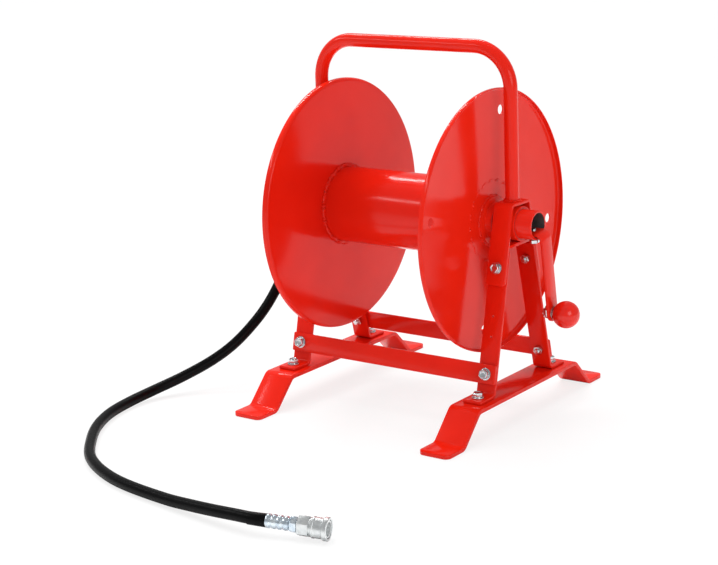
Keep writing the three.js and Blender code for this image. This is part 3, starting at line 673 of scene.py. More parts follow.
# %% Push out the cross bars
low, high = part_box("cross_bar_front")
BAR_END = high[0]
CROSS_H = 28 * MM
cross = bend_along("cross", [(-BAR_END, 0), (BAR_END, 0)], MM, (BAR_T, CROSS_H))
round_corners(cross, lambda a, b: abs(a.y) > BAR_END - MM and abs(a.x - b.x) > MM, 2 * MM, 3)
finish(cross, 0.6 * MM)
for end_name, end in ENDS:
    across = Matrix.Rotation(pi / 2, 4, "Z")
    lean = Matrix.Rotation(end * LEAN, 4, "X")
    place_ = Matrix.Translation(centre_of(f"cross_bar_{end_name}"))
    made = copy_of(cross, f"tie_bar_{end_name}", place_ @ lean @ across)
    hand_over(made, red_enamel, "stand", f"cross_bar_{end_name}")
remove(cross)
print("the cross bars are", round(2 * BAR_END, 3), "m long")

# %% [markdown]
# ## The bearing brackets
# A bracket is the same flat bar bent over the top of two legs like a steep roof with a flat
# ridge. Inside it a short shelf is welded across, and a ring sits between shelf and ridge and
# carries the axle in a nylon bush. The axle's end can be seen through this window.

# %% Bend the brackets and cut the shelves
low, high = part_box("hanger_bracket_right")
RIDGE_Z = high[2] - BAR_T / 2
DROP_Z = low[2]
BRACKET_MID = BAR_T + GAP  # from the middle of a leg's thickness to that of the bracket


def bracket_y(z):
    return leg_mid_y(z) + BRACKET_MID / cos(LEAN)


bracket = bend_along(
    "bracket",
    [(-bracket_y(DROP_Z), DROP_Z), (-bracket_y(RIDGE_Z), RIDGE_Z),
     (bracket_y(RIDGE_Z), RIDGE_Z), (bracket_y(DROP_Z), DROP_Z)],
    5 * MM, (LEG_W, BAR_T),
)
round_corners(
    bracket, lambda a, b: a.z < DROP_Z + 3 * MM and b.z < DROP_Z + 3 * MM
    and abs(a.x - b.x) < 1e-5, 5 * MM, 5
)
finish(bracket, 0.7 * MM)
low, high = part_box("bearing_shelf_right")
shelf = bend_along(
    "shelf", [(low[1], (low[2] + high[2]) / 2), (high[1], (low[2] + high[2]) / 2)], MM,
    (LEG_W, BAR_T),
)
finish(shelf, 0.6 * MM)
for side_name, side in SIDES:
    place_ = Matrix.Translation((side * STAND_HALF, 0, 0))
    made = copy_of(bracket, f"bracket_{side_name}", place_)
    hand_over(made, red_enamel, "stand", f"hanger_bracket_{side_name}")
    made = copy_of(shelf, f"shelf_{side_name}", place_)
    hand_over(made, red_enamel, "stand", f"bearing_shelf_{side_name}")
remove(bracket)
remove(shelf)
print("the brackets' ridge is at", round(RIDGE_Z, 4))

# %% [markdown]
# ### Bearing rings and bushes
# These are plain turned parts. Each outline is drawn as (radius, distance along the axle) and
# spun, then laid on the axle; the left one is the right one turned half round.

# %% Spin the rings and bushes
def flat_ring(inner, outer, low, high):
    return [(inner, low), (outer, low), (outer, high), (inner, high)]


low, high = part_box("bearing_sleeve_right")
RING_R = (high[2] - low[2]) / 2
ring = spin("ring", flat_ring(RING_R - 1.9 * MM, RING_R, low[0], high[0]), 80, True, 0.5 * MM)
low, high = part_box("bearing_bush_right")
BUSH_R = (high[2] - low[2]) / 2
BUSH_BORE = 21.08 * MM
bush_outline = [
    (BUSH_BORE, low[0]), (BUSH_R, low[0]), (BUSH_R, low[0] + 1.6 * MM),
    (RING_R - 2 * MM, low[0] + 1.6 * MM), (RING_R - 2 * MM, high[0]), (BUSH_BORE, high[0]),
]
bush = spin("bush", bush_outline, 80, True, 0.25 * MM)
for side_name, side in SIDES:
    way = ON_AXLE if side > 0 else HALF_ROUND @ ON_AXLE
    made = copy_of(ring, f"bearing_ring_{side_name}", way)
    hand_over(made, red_enamel, "stand", f"bearing_sleeve_{side_name}")
    made = copy_of(bush, f"axle_bush_{side_name}", way)
    hand_over(made, sprayed_nylon, "stand", f"bearing_bush_{side_name}")
remove(ring)
remove(bush)
print("bearing ring radius", round(RING_R, 4))

# %% [markdown]
# ## The carrying handle
# The handle is 20 mm tube, drawn square over the whole reel with two wide bends and welded on
# the ridges of the brackets. It is the same bend tool with a round section, made in the (y, z)
# plane and then turned to run from side to side.

# %% Bend the handle
low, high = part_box("carry_handle")
HANDLE_R = 10 * MM
HANDLE_Z = high[2] - HANDLE_R
handle = bend_along(
    "handle",
    [(-STAND_HALF, low[2]), (-STAND_HALF, HANDLE_Z), (STAND_HALF, HANDLE_Z),
     (STAND_HALF, low[2])],
    58 * MM, (HANDLE_R,), 16,
)
finish(handle, 0, 2, 50)
moved(handle, Matrix.Rotation(pi / 2, 4, "Z"))
hand_over(handle, red_enamel, "stand", "carry_handle")
print("the grip's middle is at", round(HANDLE_Z, 4))

# %% [markdown]
# ## Weld beads
# Every red joint that isn't bolted is welded before it is painted, and the beads show as small
# shiny ripples. A bead is a thin ring or rod of many short lengths. Each vertex is then pushed
# in or out by a few waves of different pitch, which reads as the overlapping ripples that a
# welder leaves, and is the same at every run.

# %% Make rippled beads
def ripple(piece, centre, depth, pitch, axis=None):
    """Pushes the vertices along their normals by three waves round or along the bead: one
    hump for each ripple, a slower drift in size, and a fine spatter."""
    work_on(piece)
    mesh = piece.data
    for vertex in mesh.vertices:
        offset = vertex.co - centre
        s = atan2(offset.y, offset.x) * offset.xy.length if axis is None else offset.dot(axis)
        wave = abs(sin(pi * s / pitch)) + 0.45 * sin(s / pitch * 1.7 + 1) + 0.3 * sin(s * 990)
        vertex.co += vertex.normal * depth * (wave - 0.6)
    return piece


def ring_bead(name, radius, height, size, matrix, pitch=3.2 * MM):
    """A bead round an axis, at a height along it."""
    clear_selection()
    around = max(96, int(2 * pi * radius / (0.9 * MM)))
    bpy.ops.mesh.primitive_torus_add(
        major_radius=radius, minor_radius=size, major_segments=around, minor_segments=10,
        location=(0, 0, height),
    )
    bead = adopt(name)
    bpy.ops.object.mode_set(mode="OBJECT")
    ripple(bead, Vector((0, 0, height)), size * 0.55, pitch)
    work_on(bead)
    bpy.ops.object.shade_smooth_by_angle(angle=radians(60))
    return moved(bead, matrix)


def straight_bead(name, start, end, size, pitch=3.2 * MM):
    """A bead along a straight seam, from one point to another."""
    clear_selection()
    way = end - start
    bpy.ops.mesh.primitive_circle_add(vertices=10, radius=size, fill_type="NGON")
    bead = adopt(name)
    bpy.ops.object.mode_set(mode="OBJECT")
    moved(bead, along(way, start))
    pick_all(bead)
    count = max(6, int(way.length / (0.9 * MM)))
    for _ in range(count):
        push(way / count)
    bpy.ops.object.mode_set(mode="OBJECT")
    finish(bead, 0, 2, 60)
    return ripple(bead, start, size * 0.3, pitch, way.normalized())


for side_name, side in SIDES:
    foot_of_handle = Vector((side * STAND_HALF, 0, RIDGE_Z + BAR_T / 2))
    handle_bead = ring_bead(
        f"handle_weld_{side_name}", HANDLE_R + 0.6 * MM, 0.9 * MM, 1.9 * MM,
        Matrix.Translation(foot_of_handle),
    )
    hand_over(handle_bead, red_enamel, "stand")
    low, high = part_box(f"bearing_shelf_{side_name}")
    near, far = low[0] + 2 * MM, high[0] - 2 * MM
    beads = [
        straight_bead("seam", Vector((near, y, low[2])), Vector((far, y, low[2])), 1.5 * MM)
        for y in (low[1], high[1])
    ]
    hand_over(join(f"shelf_weld_{side_name}", beads), red_enamel, "stand")
print("welds on the stand:", sum("weld" in p.name for p in made_pieces))

# %% [markdown]
# ## The fasteners
# Everything on the stand is held by M8 hexagon bolts with a spring washer and a plain washer,
# and a nut behind. The heads are upset cold, so they have a shallow dish on top. One bolt is
# made for each grip length, with its head at +Z, and copied onto every joint; so is one nut.

# %% Make one bolt of each length and one nut
BOLT_R = 4 * MM
HEX_AF = 13 * MM
NUT_H = 6.5 * MM


def dished_hexagon(name, across, low, high, dish=0.9 * MM):
    """A hexagon head with a chamfered crown and a dished top."""
    clear_selection()
    bpy.ops.mesh.primitive_cylinder_add(
        vertices=6, radius=across / 2 / cos(pi / 6), depth=high - low,
        location=(0, 0, (low + high) / 2),
    )
    head = adopt(name)
    pick(head, "faces", lambda centre, normal: normal.z > 0.9)
    bpy.ops.mesh.bevel(offset=0.7 * MM, segments=1)
    pick(head, "faces", lambda centre, normal: normal.z > 0.9)
    bpy.ops.mesh.inset(thickness=1.3 * MM)
    bpy.ops.mesh.inset(thickness=0.8 * MM, depth=-dish)
    bpy.ops.mesh.inset(thickness=1.2 * MM, depth=-0.15 * MM)
    bpy.ops.object.mode_set(mode="OBJECT")
    return finish(head, 0.25 * MM, 2, 30)


def screw_thread(name, radius, low, high, pitch=1.25 * MM):
    """A threaded length: rings of the right pitch and depth on a rod."""
    outline = [(0, low)]
    rings = int((high - low) / pitch)
    for k in range(rings):
        outline += [(radius - 0.6 * MM, low + k * pitch), (radius, low + (k + 0.5) * pitch)]
    outline += [(radius - 0.6 * MM, low + rings * pitch), (radius - 1.2 * MM, high), (0, high)]
    return spin(name, outline, 24, False, 0, 25)


def make_bolt(name, grip):
    tip = -(grip + 2 * GAP + NUT_H + 3 * MM)
    plain = spin("washer", flat_ring(BOLT_R, 8.8 * MM, GAP, GAP + 1.6 * MM), 40, True, 0.25 * MM)
    spring = spin(
        "spring", flat_ring(BOLT_R, 6.6 * MM, GAP + 1.6 * MM, GAP + 3.4 * MM), 40, True,
        0.3 * MM,
    )
    head = dished_hexagon("head", HEX_AF, GAP + 3.4 * MM, GAP + 8.4 * MM)
    shank = spin(
        "shank",
        [(0, GAP + 4 * MM), (BOLT_R - 0.1 * MM, GAP + 4 * MM), (BOLT_R - 0.1 * MM, -grip),
         (0, -grip)], 24, False,
    )
    thread = screw_thread("thread", BOLT_R - 0.05 * MM, tip, -grip)
    return join(name, [head, plain, spring, shank, thread])


def make_nut(name, across=HEX_AF, height=NUT_H, bore=BOLT_R + 0.25 * MM):
    blank = hexagon(name, across, 0, height, 0.8 * MM)
    drill(blank, Matrix.Translation((0, 0, height / 2)), bore, height * 2)
    return finish(blank, 0, 2, 30)


TWO_BARS = BAR_T * 2 + GAP
TAB_AND_FOOT = BAR_T + GAP + FOOT_T
bolts = {grip: make_bolt("bolt", grip) for grip in (TWO_BARS, TAB_AND_FOOT)}
one_nut = make_nut("nut")
UP = Vector((0, 0, 1))
spanner_turn = 0
for kind in ("foot", "cross", "hanger"):
    grip = TAB_AND_FOOT if kind == "foot" else TWO_BARS
    for end_name, end in ENDS:
        for side_name, side in SIDES:
            where = f"{end_name}_{side_name}"
            look = UP if kind == "foot" else outward(end)
            nut_middle = centre_of(f"{kind}_nut_{where}")
            seat = nut_middle + look * (grip + GAP + NUT_H / 2)
            spanner_turn += 23
            twist = Matrix.Rotation(radians(spanner_turn % 60), 4, "Z")
            made = copy_of(bolts[grip], f"{kind}_screw_{where}", along(look, seat) @ twist)
            hand_over(made, bright_zinc, "stand", f"{kind}_bolt_{where}")
            base = along(-look, seat - look * (grip + GAP))
            made = copy_of(one_nut, f"{kind}_hexnut_{where}", base @ twist)
            hand_over(made, bright_zinc, "stand", f"{kind}_nut_{where}")
for pattern in [*bolts.values(), one_nut]:
    remove(pattern)
print("fasteners placed:", sum("screw" in p.name or "hexnut" in p.name for p in made_pieces))

# %% [markdown]
# ## The reel's discs
# Each flange is a disc of 2 mm sheet with its rim rolled outwards, which stiffens it and keeps
# the hose off a cut edge. Its outline is a long straight line with a rounded corner, spun with
# many steps because its edge is the largest circle on the object. Only the right disc has the
# four round holes.

# %% Spin the discs
FLANGE_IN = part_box("flange_right")[0][0]
FLANGE_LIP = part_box("flange_right")[1][0]
FLANGE_R = (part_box("flange_right")[1][2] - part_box("flange_right")[0][2]) / 2
SHEET = 2 * MM
RIM_BEND = 5 * MM
AXLE_R = 21 * MM
HOLE_R, HOLE_PITCH_R = 7 * MM, 158.5 * MM


def arc(middle_r, middle_h, radius, start, end, steps):
    """Points of an outline round a bend, from one angle to another, in degrees."""
    angles = [radians(start + (end - start) * k / steps) for k in range(steps + 1)]
    return [(middle_r + radius * cos(a), middle_h + radius * sin(a)) for a in angles]


bend_r, bend_h = FLANGE_R - RIM_BEND, FLANGE_IN + RIM_BEND
flange_outline = [
    (AXLE_R, FLANGE_IN), (FLANGE_R * 0.5, FLANGE_IN),
    *arc(bend_r, bend_h, RIM_BEND, -90, 0, 6),
    *arc(FLANGE_R - SHEET / 2, FLANGE_LIP - SHEET / 2, SHEET / 2, 0, 180, 6),
    *arc(bend_r, bend_h, RIM_BEND - SHEET, 0, -90, 5),
    (FLANGE_R * 0.5, FLANGE_IN + SHEET), (AXLE_R, FLANGE_IN + SHEET),
]
for side_name, side in SIDES:
    disc = spin(f"disc_{side_name}", flange_outline, 160)
    moved(disc, ON_AXLE)
    for k in range(4 if side > 0 else 0):
        angle = radians(-10 + 90 * k)
        spot = AXLE + Vector((FLANGE_IN, HOLE_PITCH_R * cos(angle), HOLE_PITCH_R * sin(angle)))
        drill(disc, along((1, 0, 0), spot), HOLE_R, DRILL_REACH, 36)
    if side < 0:
        moved(disc, HALF_ROUND)
    work_on(disc)
    bpy.ops.object.shade_smooth_by_angle(angle=radians(30))
    hand_over(disc, red_enamel, "reel", f"flange_{side_name}")
print("discs:", round(2 * FLANGE_R, 3), "m across,", round(2 * FLANGE_IN, 3), "m apart")

# %% [markdown]
# ## The drum, the axle tube and the hubs
# The drum is a tube of 114 mm between the discs. The axle is a 42 mm tube right through it, open
# at the crank's end, and its bore is painted near black as painted shade. On the outer face of each
# disc a stepped hub plate is welded round the axle and runs against the bush.

# %% Spin the tubes and the hubs
DRUM_R = (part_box("drum_core")[1][2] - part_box("drum_core")[0][2]) / 2
AXLE_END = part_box("axle_tube")[1][0]
drum_half = FLANGE_IN - 0.1 * MM
drum = spin(
    "drum", flat_ring(DRUM_R - 3.2 * MM, DRUM_R, -drum_half, drum_half), 128, True, 0
)
hand_over(moved(drum, ON_AXLE), red_enamel, "reel", "drum_core")

axle = spin(
    "axle", flat_ring(AXLE_R - 3 * MM, AXLE_R, -AXLE_END, AXLE_END), 96, True, 0.5 * MM
)
hand_over(moved(axle, ON_AXLE), red_enamel, "reel", "axle_tube")
# the inner faces of the bore get the near-black painted shade
axle.data.materials.append(painted_bore_shade)
for face in axle.data.polygons:
    if (face.center - AXLE).yz.length < AXLE_R - 2.8 * MM:
        face.material_index = 1

low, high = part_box("hub_plate_right")
HUB_R = (high[2] - low[2]) / 2
STEP = low[0] + 4.5 * MM
hub = spin(
    "hub",
    [(AXLE_R, low[0] - GAP), (HUB_R, low[0] - GAP), (HUB_R, STEP), (27 * MM, STEP),
     (27 * MM, high[0]), (AXLE_R + 0.2 * MM, high[0])],
    96, True, 0.6 * MM,
)
for side_name, side in SIDES:
    way = ON_AXLE if side > 0 else HALF_ROUND @ ON_AXLE
    made = copy_of(hub, f"hub_{side_name}", way)
    hand_over(made, red_enamel, "reel", f"hub_plate_{side_name}")
    welds = [
        ring_bead("bead", HUB_R + 0.5 * MM, low[0], 1.7 * MM, way, 4 * MM),
        ring_bead("bead", DRUM_R + 1.2 * MM, FLANGE_IN - 1 * MM, 3.1 * MM, way, 5 * MM),
    ]
    hand_over(join(f"drum_weld_{side_name}", welds), red_enamel, "reel")
remove(hub)
print("drum radius", round(DRUM_R, 4), "hub radius", round(HUB_R, 4))

# %% [markdown]
# ## The crank
# The crank arm is one flat bar. Its tail lies on the floor of the open axle tube, held by a bolt
# from below, and outside it bends down and hangs beside the stand. Its lower end is a full round
# about the knob's stud. It is bent in the (y, z) plane, turned to run along the axle, and leaned.

# %% Bend the crank arm
CRANK_W, CRANK_T, CRANK_R = 24.6 * MM, 4.5 * MM, 132 * MM
CRANK_LEAN = radians(8.5)
CRANK_FACE = 220 * MM
tail_floor = sqrt((AXLE_R - 3.3 * MM) ** 2 - (CRANK_W / 2) ** 2)
tail_z = AXLE_Z - tail_floor + CRANK_T / 2
arm_x = CRANK_FACE - CRANK_T / 2
arm_end = AXLE_Z - CRANK_R - CRANK_W / 2
arm = bend_along(
    "crank", [(AXLE_END - 25 * MM, tail_z), (arm_x, tail_z), (arm_x, arm_end)],
    8 * MM + CRANK_T / 2, (CRANK_W, CRANK_T), 10,
)
round_corners(
    arm, lambda a, b: max(a.z, b.z) < arm_end + MM and abs(a.x - b.x) < 1e-5,
    CRANK_W / 2 - 0.05 * MM, 12,
)
finish(arm, 0.7 * MM)
moved(arm, Matrix.Rotation(-pi / 2, 4, "Z"))
LEANED = Matrix.Translation(AXLE) @ Matrix.Rotation(CRANK_LEAN, 4, "X") @ Matrix.Translation(-AXLE)
moved(arm, LEANED)
hand_over(arm, red_enamel, "reel", "crank_arm")

crank_down = Vector((0, sin(CRANK_LEAN), -cos(CRANK_LEAN)))
head = dished_hexagon("head", HEX_AF, AXLE_R + GAP, AXLE_R + 5.6 * MM)
inside_end = tail_floor - CRANK_T - 3 * MM
shank = screw_thread("thread", BOLT_R, inside_end, AXLE_R + 1 * MM)
crank_screw = join("crank_screw", [head, shank])
moved(crank_screw, along(crank_down, Vector((AXLE_END - 8.5 * MM, 0, AXLE_Z))))
hand_over(crank_screw, bright_zinc, "reel", "crank_bolt")
print("the crank reaches", round(CRANK_R, 3), "m from the axle")

# %% [markdown]
# ### The knob and its stud
# The knob is a 39 mm ball with a small flat, free to turn on a steel stud. A washer and the
# stud's collar stand between ball and arm, and a nut holds the stud from behind.

# %% Turn the stud, the nut and the ball
knob_axis = AXLE + crank_down * CRANK_R
ON_KNOB = along((1, 0, 0), knob_axis)
KNOB_R = 19.7 * MM
COLLAR_R = 9.6 * MM
KNOB_FLAT = 223.2 * MM
back = CRANK_FACE - CRANK_T - 11.3 * MM
stud = spin(
    "stud",
    [(0, back), (5 * MM, back), (5 * MM, CRANK_FACE), (COLLAR_R, CRANK_FACE),
     (COLLAR_R, CRANK_FACE + 1.5 * MM), (7.4 * MM, CRANK_FACE + 1.7 * MM),
     (7.4 * MM, KNOB_FLAT), (5 * MM, KNOB_FLAT), (5 * MM, KNOB_FLAT + 24 * MM),
     (0, KNOB_FLAT + 24 * MM)],
    48, False, 0.3 * MM,
)
hand_over(moved(stud, ON_KNOB), bright_zinc, "reel", "knob_spindle")

low_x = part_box("knob_nut")[0][0]
lock_nut = make_nut("knob_locknut", 17 * MM, 8 * MM, 5.2 * MM)
moved(lock_nut, ON_KNOB @ Matrix.Translation((0, 0, low_x)))
hand_over(lock_nut, bright_zinc, "reel", "knob_nut")

ball_middle = KNOB_FLAT + sqrt(KNOB_R**2 - COLLAR_R**2)
flat_at = -90 + asin(COLLAR_R / KNOB_R) * 180 / pi
ball = spin(
    "ball",
    [(0, KNOB_FLAT + 25 * MM), (5.1 * MM, KNOB_FLAT + 25 * MM), (5.1 * MM, KNOB_FLAT),
     (COLLAR_R - 0.6 * MM, KNOB_FLAT),
     *arc(0, ball_middle, KNOB_R, flat_at, 90, 28)],
    64, False, 0, 50,
)
hand_over(moved(ball, ON_KNOB), red_knob, "knob", "crank_knob")
print("the ball's middle is at x =", round(ball_middle, 4))

# %% [markdown]
# ## The water way
# At the other end of the axle the hose feeds a swivel: a stem that turns with the reel inside a
# body that stays with the hose. Water runs on through a pipe in the axle to an outlet in the
# side of the drum, where the working hose is fitted. All of it is turned or hexagonal stock.

# %% Turn the swivel, the pipe and the outlet
low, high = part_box("swivel_stem")
stem_end = low[0]
plug_end = high[0]
stem = spin(
    "stem",
    [(5 * MM, stem_end), (9 * MM, stem_end), (9 * MM, -AXLE_END - 5.3 * MM),
     (AXLE_R, -AXLE_END - 5.3 * MM), (AXLE_R, -AXLE_END - GAP),
     (AXLE_R - 3.3 * MM, -AXLE_END - GAP), (AXLE_R - 3.3 * MM, plug_end),
     (5 * MM, plug_end)],
    72, True, 0.4 * MM,
)
hand_over(moved(stem, ON_AXLE), bright_zinc, "reel", "swivel_stem")

SWIVEL_X = HOSE_ROUTE[0][0] * MM
mouth = -AXLE_END - 5.9 * MM
barrel = spin(
    "barrel",
    [(0, SWIVEL_X - 11 * MM), (12.5 * MM, SWIVEL_X - 11 * MM), (14.5 * MM, SWIVEL_X - 9 * MM),
     (14.5 * MM, mouth - 6 * MM), (13.7 * MM, mouth - 6 * MM), (13.7 * MM, mouth - 4.5 * MM),
     (14.5 * MM, mouth - 4.5 * MM), (14.5 * MM, mouth), (9.1 * MM, mouth),
     (9.1 * MM, mouth - 10 * MM), (0, mouth - 10 * MM)],
    72, False, 0.3 * MM,
)
moved(barrel, ON_AXLE)
port_way = along((0, 0, -1), Vector((SWIVEL_X, 0, AXLE_Z)))
neck = spin("neck", [(0, 0), (11 * MM, 0), (11 * MM, 21 * MM), (0, 21 * MM)], 48, False, 0.3 * MM)
union_nut = hexagon("union", 24 * MM, 20 * MM, 32 * MM, 0.9 * MM)
RINGS = 4


def crimped(name, radius, low, high, rings=RINGS):
    """A ferrule pressed on a hose: rounded ridges with narrow crimped grooves between them."""
    outline = [(5 * MM, low), (radius - 0.5 * MM, low)]
    pitch = (high - low) / rings
    for k in range(rings):
        start = low + k * pitch
        outline += [
            (radius, start + 0.12 * pitch), (radius + 0.2 * MM, start + 0.35 * pitch),
            (radius, start + 0.62 * pitch), (radius - 1.1 * MM, start + 0.78 * pitch),
            (radius - 1.1 * MM, start + 0.9 * pitch),
        ]
    outline += [(radius - 0.5 * MM, high), (5 * MM, high)]
    return spin(name, outline, 48, True, 0, 45)


cuff = crimped("cuff", 9.6 * MM, 31.5 * MM, 56 * MM, 3)
swivel = join("swivel_housing", [
    barrel, *(moved(part, port_way) for part in (neck, union_nut, cuff))
])
hand_over(swivel, bright_zinc, "stand", "swivel_body")

OUTLET_X = -72 * MM
outlet_way = Vector((0, cos(radians(35)), -sin(radians(35))))
OUTLET = along(outlet_way, Vector((OUTLET_X, 0, AXLE_Z)))
pipe_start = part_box("water_pipe")[0][0]
pipe = spin(
    "pipe",
    [(10.4 * MM, pipe_start), (13 * MM, pipe_start), (13 * MM, OUTLET_X + 13 * MM),
     (0, OUTLET_X + 13 * MM), (0, OUTLET_X + 10.4 * MM), (10.4 * MM, OUTLET_X + 10.4 * MM)],
    48, True, 0.3 * MM,
)
moved(pipe, ON_AXLE)
spout = spin(
    "spout",
    [(6.4 * MM, 14 * MM), (9 * MM, 14 * MM), (9 * MM, DRUM_R + 15 * MM),
     (8.3 * MM, DRUM_R + 15.6 * MM)]
    + [(8.3 * MM + 0.7 * MM * (k % 2), DRUM_R + (15.6 + 0.9 * k) * MM) for k in range(1, 9)]
    + [(7.8 * MM, DRUM_R + 24 * MM), (6.4 * MM, DRUM_R + 24 * MM)],
    48, True, 0, 25,
)
collar = hexagon("collar", 24 * MM, DRUM_R + 2 * MM, DRUM_R + 12 * MM, 0.9 * MM)
pipe = join("water_way", [pipe, moved(spout, OUTLET), moved(collar, OUTLET)])
hand_over(pipe, bright_zinc, "reel", "water_pipe")

nodes["swivel_seal"].data.materials.clear()
nodes["swivel_seal"].data.materials.append(seal_rubber)
print("the water way has", len(pipe.data.polygons) + len(swivel.data.polygons), "faces")

# %% [markdown]
# ## The quick coupler
# The hose ends in a crimped ferrule with four ridges, then an adapter nut, the coupler's
# hexagonal body and the sleeve that is drawn back to let a plug go. The sleeve has a raised lip
# at its mouth, a waist behind it and an open bore. It slides on the body by itself.

# %% Turn the ferrule, the body and the sleeve
COUPLER_WAY = Vector((0.953, 0.299, -0.049)).normalized()
hose_end = Vector(HOSE_ROUTE[-1]) * MM
ON_HOSE = along(COUPLER_WAY, hose_end)
FERRULE_R = 9 * MM
NECK_R = 6.5 * MM
SOCKET_BORE, SOCKET_R = 9 * MM, 11.6 * MM
SLEEVE_BORE, SLEEVE_WAIST, SLEEVE_R, LIP_R = 11.68 * MM, 13.1 * MM, 13.6 * MM, 14.8 * MM
ADAPTER_AT = 29.6 * MM
HEX_AT = ADAPTER_AT + 11 * MM
TUBE_AT = HEX_AT + 15 * MM
SLEEVE_AT = TUBE_AT + 3.3 * MM
MOUTH_AT = SLEEVE_AT + 21 * MM
LIP_AT = MOUTH_AT - 6 * MM

ferrule = crimped("crimped_ferrule", FERRULE_R, -1.5 * MM, ADAPTER_AT - GAP)
hand_over(moved(ferrule, ON_HOSE), blue_zinc, "stand", "hose_ferrule")

adapter_neck = spin(
    "adapter_neck",
    [(0, ADAPTER_AT - MM), (NECK_R, ADAPTER_AT - MM), (NECK_R, ADAPTER_AT + 3 * MM),
     (0, ADAPTER_AT + 3 * MM)], 40, False,
)
adapter_nut = hexagon("adapter_nut", 19 * MM, ADAPTER_AT + 0.8 * MM, HEX_AT - 1.2 * MM, 1.1 * MM)
adapter = join("hose_adapter", [adapter_nut, adapter_neck])
hand_over(moved(adapter, ON_HOSE), blue_zinc, "stand")

hex_body = hexagon("hex_body", 24 * MM, HEX_AT, TUBE_AT, 0.9 * MM)
body_tube = spin(
    "body_tube",
    [(0, HEX_AT - 2 * MM), (8 * MM, HEX_AT - 2 * MM), (8 * MM, TUBE_AT - MM),
     (SOCKET_R, TUBE_AT - MM), (SOCKET_R, MOUTH_AT - 3 * MM),
     (SOCKET_R - 0.6 * MM, MOUTH_AT - MM), (SOCKET_BORE, MOUTH_AT - MM),
     (SOCKET_BORE, TUBE_AT + 4 * MM), (0, TUBE_AT + 4 * MM)],
    56, False, 0.25 * MM,
)
coupler = join("coupler_socket", [hex_body, body_tube])
hand_over(moved(coupler, ON_HOSE), satin_nickel, "stand", "coupler_body")

sleeve = spin(
    "coupler_collar",
    [(SLEEVE_BORE, SLEEVE_AT), (SLEEVE_R - 0.6 * MM, SLEEVE_AT), (SLEEVE_R, SLEEVE_AT + 0.6 * MM),
     (SLEEVE_R, SLEEVE_AT + 2.4 * MM), (SLEEVE_WAIST, SLEEVE_AT + 3 * MM),
     (SLEEVE_WAIST, LIP_AT - 1.2 * MM), (LIP_R, LIP_AT + 0.3 * MM), (LIP_R, MOUTH_AT - 0.7 * MM),
     (LIP_R - 0.6 * MM, MOUTH_AT), (SLEEVE_BORE + 0.52 * MM, MOUTH_AT),
     (SLEEVE_BORE, MOUTH_AT - 0.6 * MM)],
    72, True, 0.2 * MM, 25,
)
hand_over(moved(sleeve, ON_HOSE), satin_nickel, "sleeve", "coupler_sleeve")

strain_relief = spin(
    "hose_cuff",
    [(7.6 * MM, -26 * MM), (8.3 * MM, -26 * MM), (8.7 * MM, -2 * MM), (7.6 * MM, -2 * MM)],
    40, True, 0.2 * MM,
)
hand_over(moved(strain_relief, ON_HOSE), black_rubber, "stand")
print("the coupler's mouth is", round(MOUTH_AT, 4), "m past the hose's end")

# %% [markdown]
# ## Floor and light
# The reel stands on a plain white floor that runs into a white surround, as on a sweep of
# paper. The floor shines a little for the camera only, so the shadows on it stay pale. One very
# broad light hangs overhead and is kept out of the reflections. A soft box stands at the right,
# and two narrow strips, at the left and behind, draw the long highlights along the handle, the
# drum and the rims.

# %% Lay the floor
paper, shader, place = new_finish("white_sweep_paper", Roughness=0.9)
SHADOW_LIFT = 0.8
fibre = between(paper, noise(paper, place, 60 * MM, 2), 0, 1)
link(paper, two_tone(paper, fibre, 0xF7F7F7, 0xF4F4F4), shader, "Base Color")
clear_selection()
bpy.ops.mesh.primitive_plane_add(size=30, location=(0, 0, -0.4 * MM))
floor = adopt("studio_floor")
bpy.ops.object.mode_set(mode="OBJECT")
white = colour(0xFFFFFF)
bright = add_node(paper, "ShaderNodeEmission", values={"Color": white, "Strength": 1.0})
ray = add_node(paper, "ShaderNodeLightPath").outputs["Is Camera Ray"]
lifted = add_node(
    paper, "ShaderNodeMath", {"operation": "MULTIPLY"}, {1: SHADOW_LIFT}, {0: ray}
).outputs[0]
mixed = add_node(
    paper, "ShaderNodeMixShader",
    links={0: lifted, 1: shader.outputs["BSDF"], 2: bright.outputs["Emission"]},
)
paper.node_tree.links.new(
    mixed.outputs["Shader"], paper.node_tree.nodes["Material Output"].inputs["Surface"]
)
floor.data.materials.append(paper)
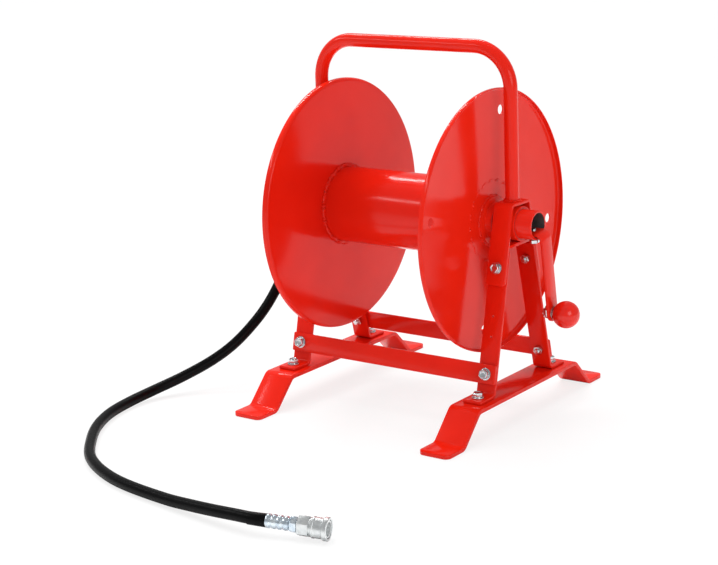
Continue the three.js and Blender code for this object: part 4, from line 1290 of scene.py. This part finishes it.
floor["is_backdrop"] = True

# %% Set the lights
world = scene.world or bpy.data.worlds.new("studio")
scene.world = world
world.use_nodes = True
tree = world.node_tree
surround = tree.nodes["Background"]
surround.inputs["Color"].default_value = white
surround.inputs["Strength"].default_value = 0.45
open_white = tree.nodes.new("ShaderNodeBackground")
open_white.inputs["Strength"].default_value = 1.0
open_white.inputs["Color"].default_value = white
chosen = tree.nodes.new("ShaderNodeMixShader")
seen = tree.nodes.new("ShaderNodeLightPath")
tree.links.new(seen.outputs["Is Camera Ray"], chosen.inputs["Fac"])
tree.links.new(surround.outputs["Background"], chosen.inputs[1])
tree.links.new(open_white.outputs["Background"], chosen.inputs[2])
tree.links.new(chosen.outputs["Shader"], tree.nodes["World Output"].inputs["Surface"])


def soft_box(name, place_, aim, size, watts):
    light = bpy.data.lights.new(name, "AREA")
    light.shape = "RECTANGLE"
    light.size, light.size_y = size
    light.energy = watts
    lamp = bpy.data.objects.new(name, light)
    lamp.matrix_world = along(Vector(place_) - Vector(aim), Vector(place_))
    scene.collection.objects.link(lamp)
    return lamp


overhead = bpy.data.lights.new("overhead", "SUN")
overhead.energy = 2.35
overhead.angle = radians(50)
overhead_lamp = bpy.data.objects.new("overhead", overhead)
overhead_lamp.matrix_world = along((-0.25, 0.15, 1), Vector((0, 0, 3)))
overhead_lamp.visible_glossy = False
scene.collection.objects.link(overhead_lamp)
soft_box("key_right", (1.7, -0.8, 0.9), (0, 0, 0.25), (0.9, 0.9), 8)
soft_box("strip_left", (-1.4, -1.2, 1.5), (0, 0, 0.3), (1.6, 0.12), 7)
soft_box("strip_rear", (-1.2, 1.0, 2.0), (0, 0, 0.5), (1.6, 0.14), 18)
scene.view_settings.view_transform = "Standard"

# %% Compare the boxes and finish
made_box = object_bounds()
for axis, a, b, c, d in zip("XYZ", cad_box[0], cad_box[1], made_box[0], made_box[1]):
    print(axis, "packed", round(a, 4), round(b, 4), "made", round(c, 4), round(d, 4))
print("pieces made:", len(made_pieces))
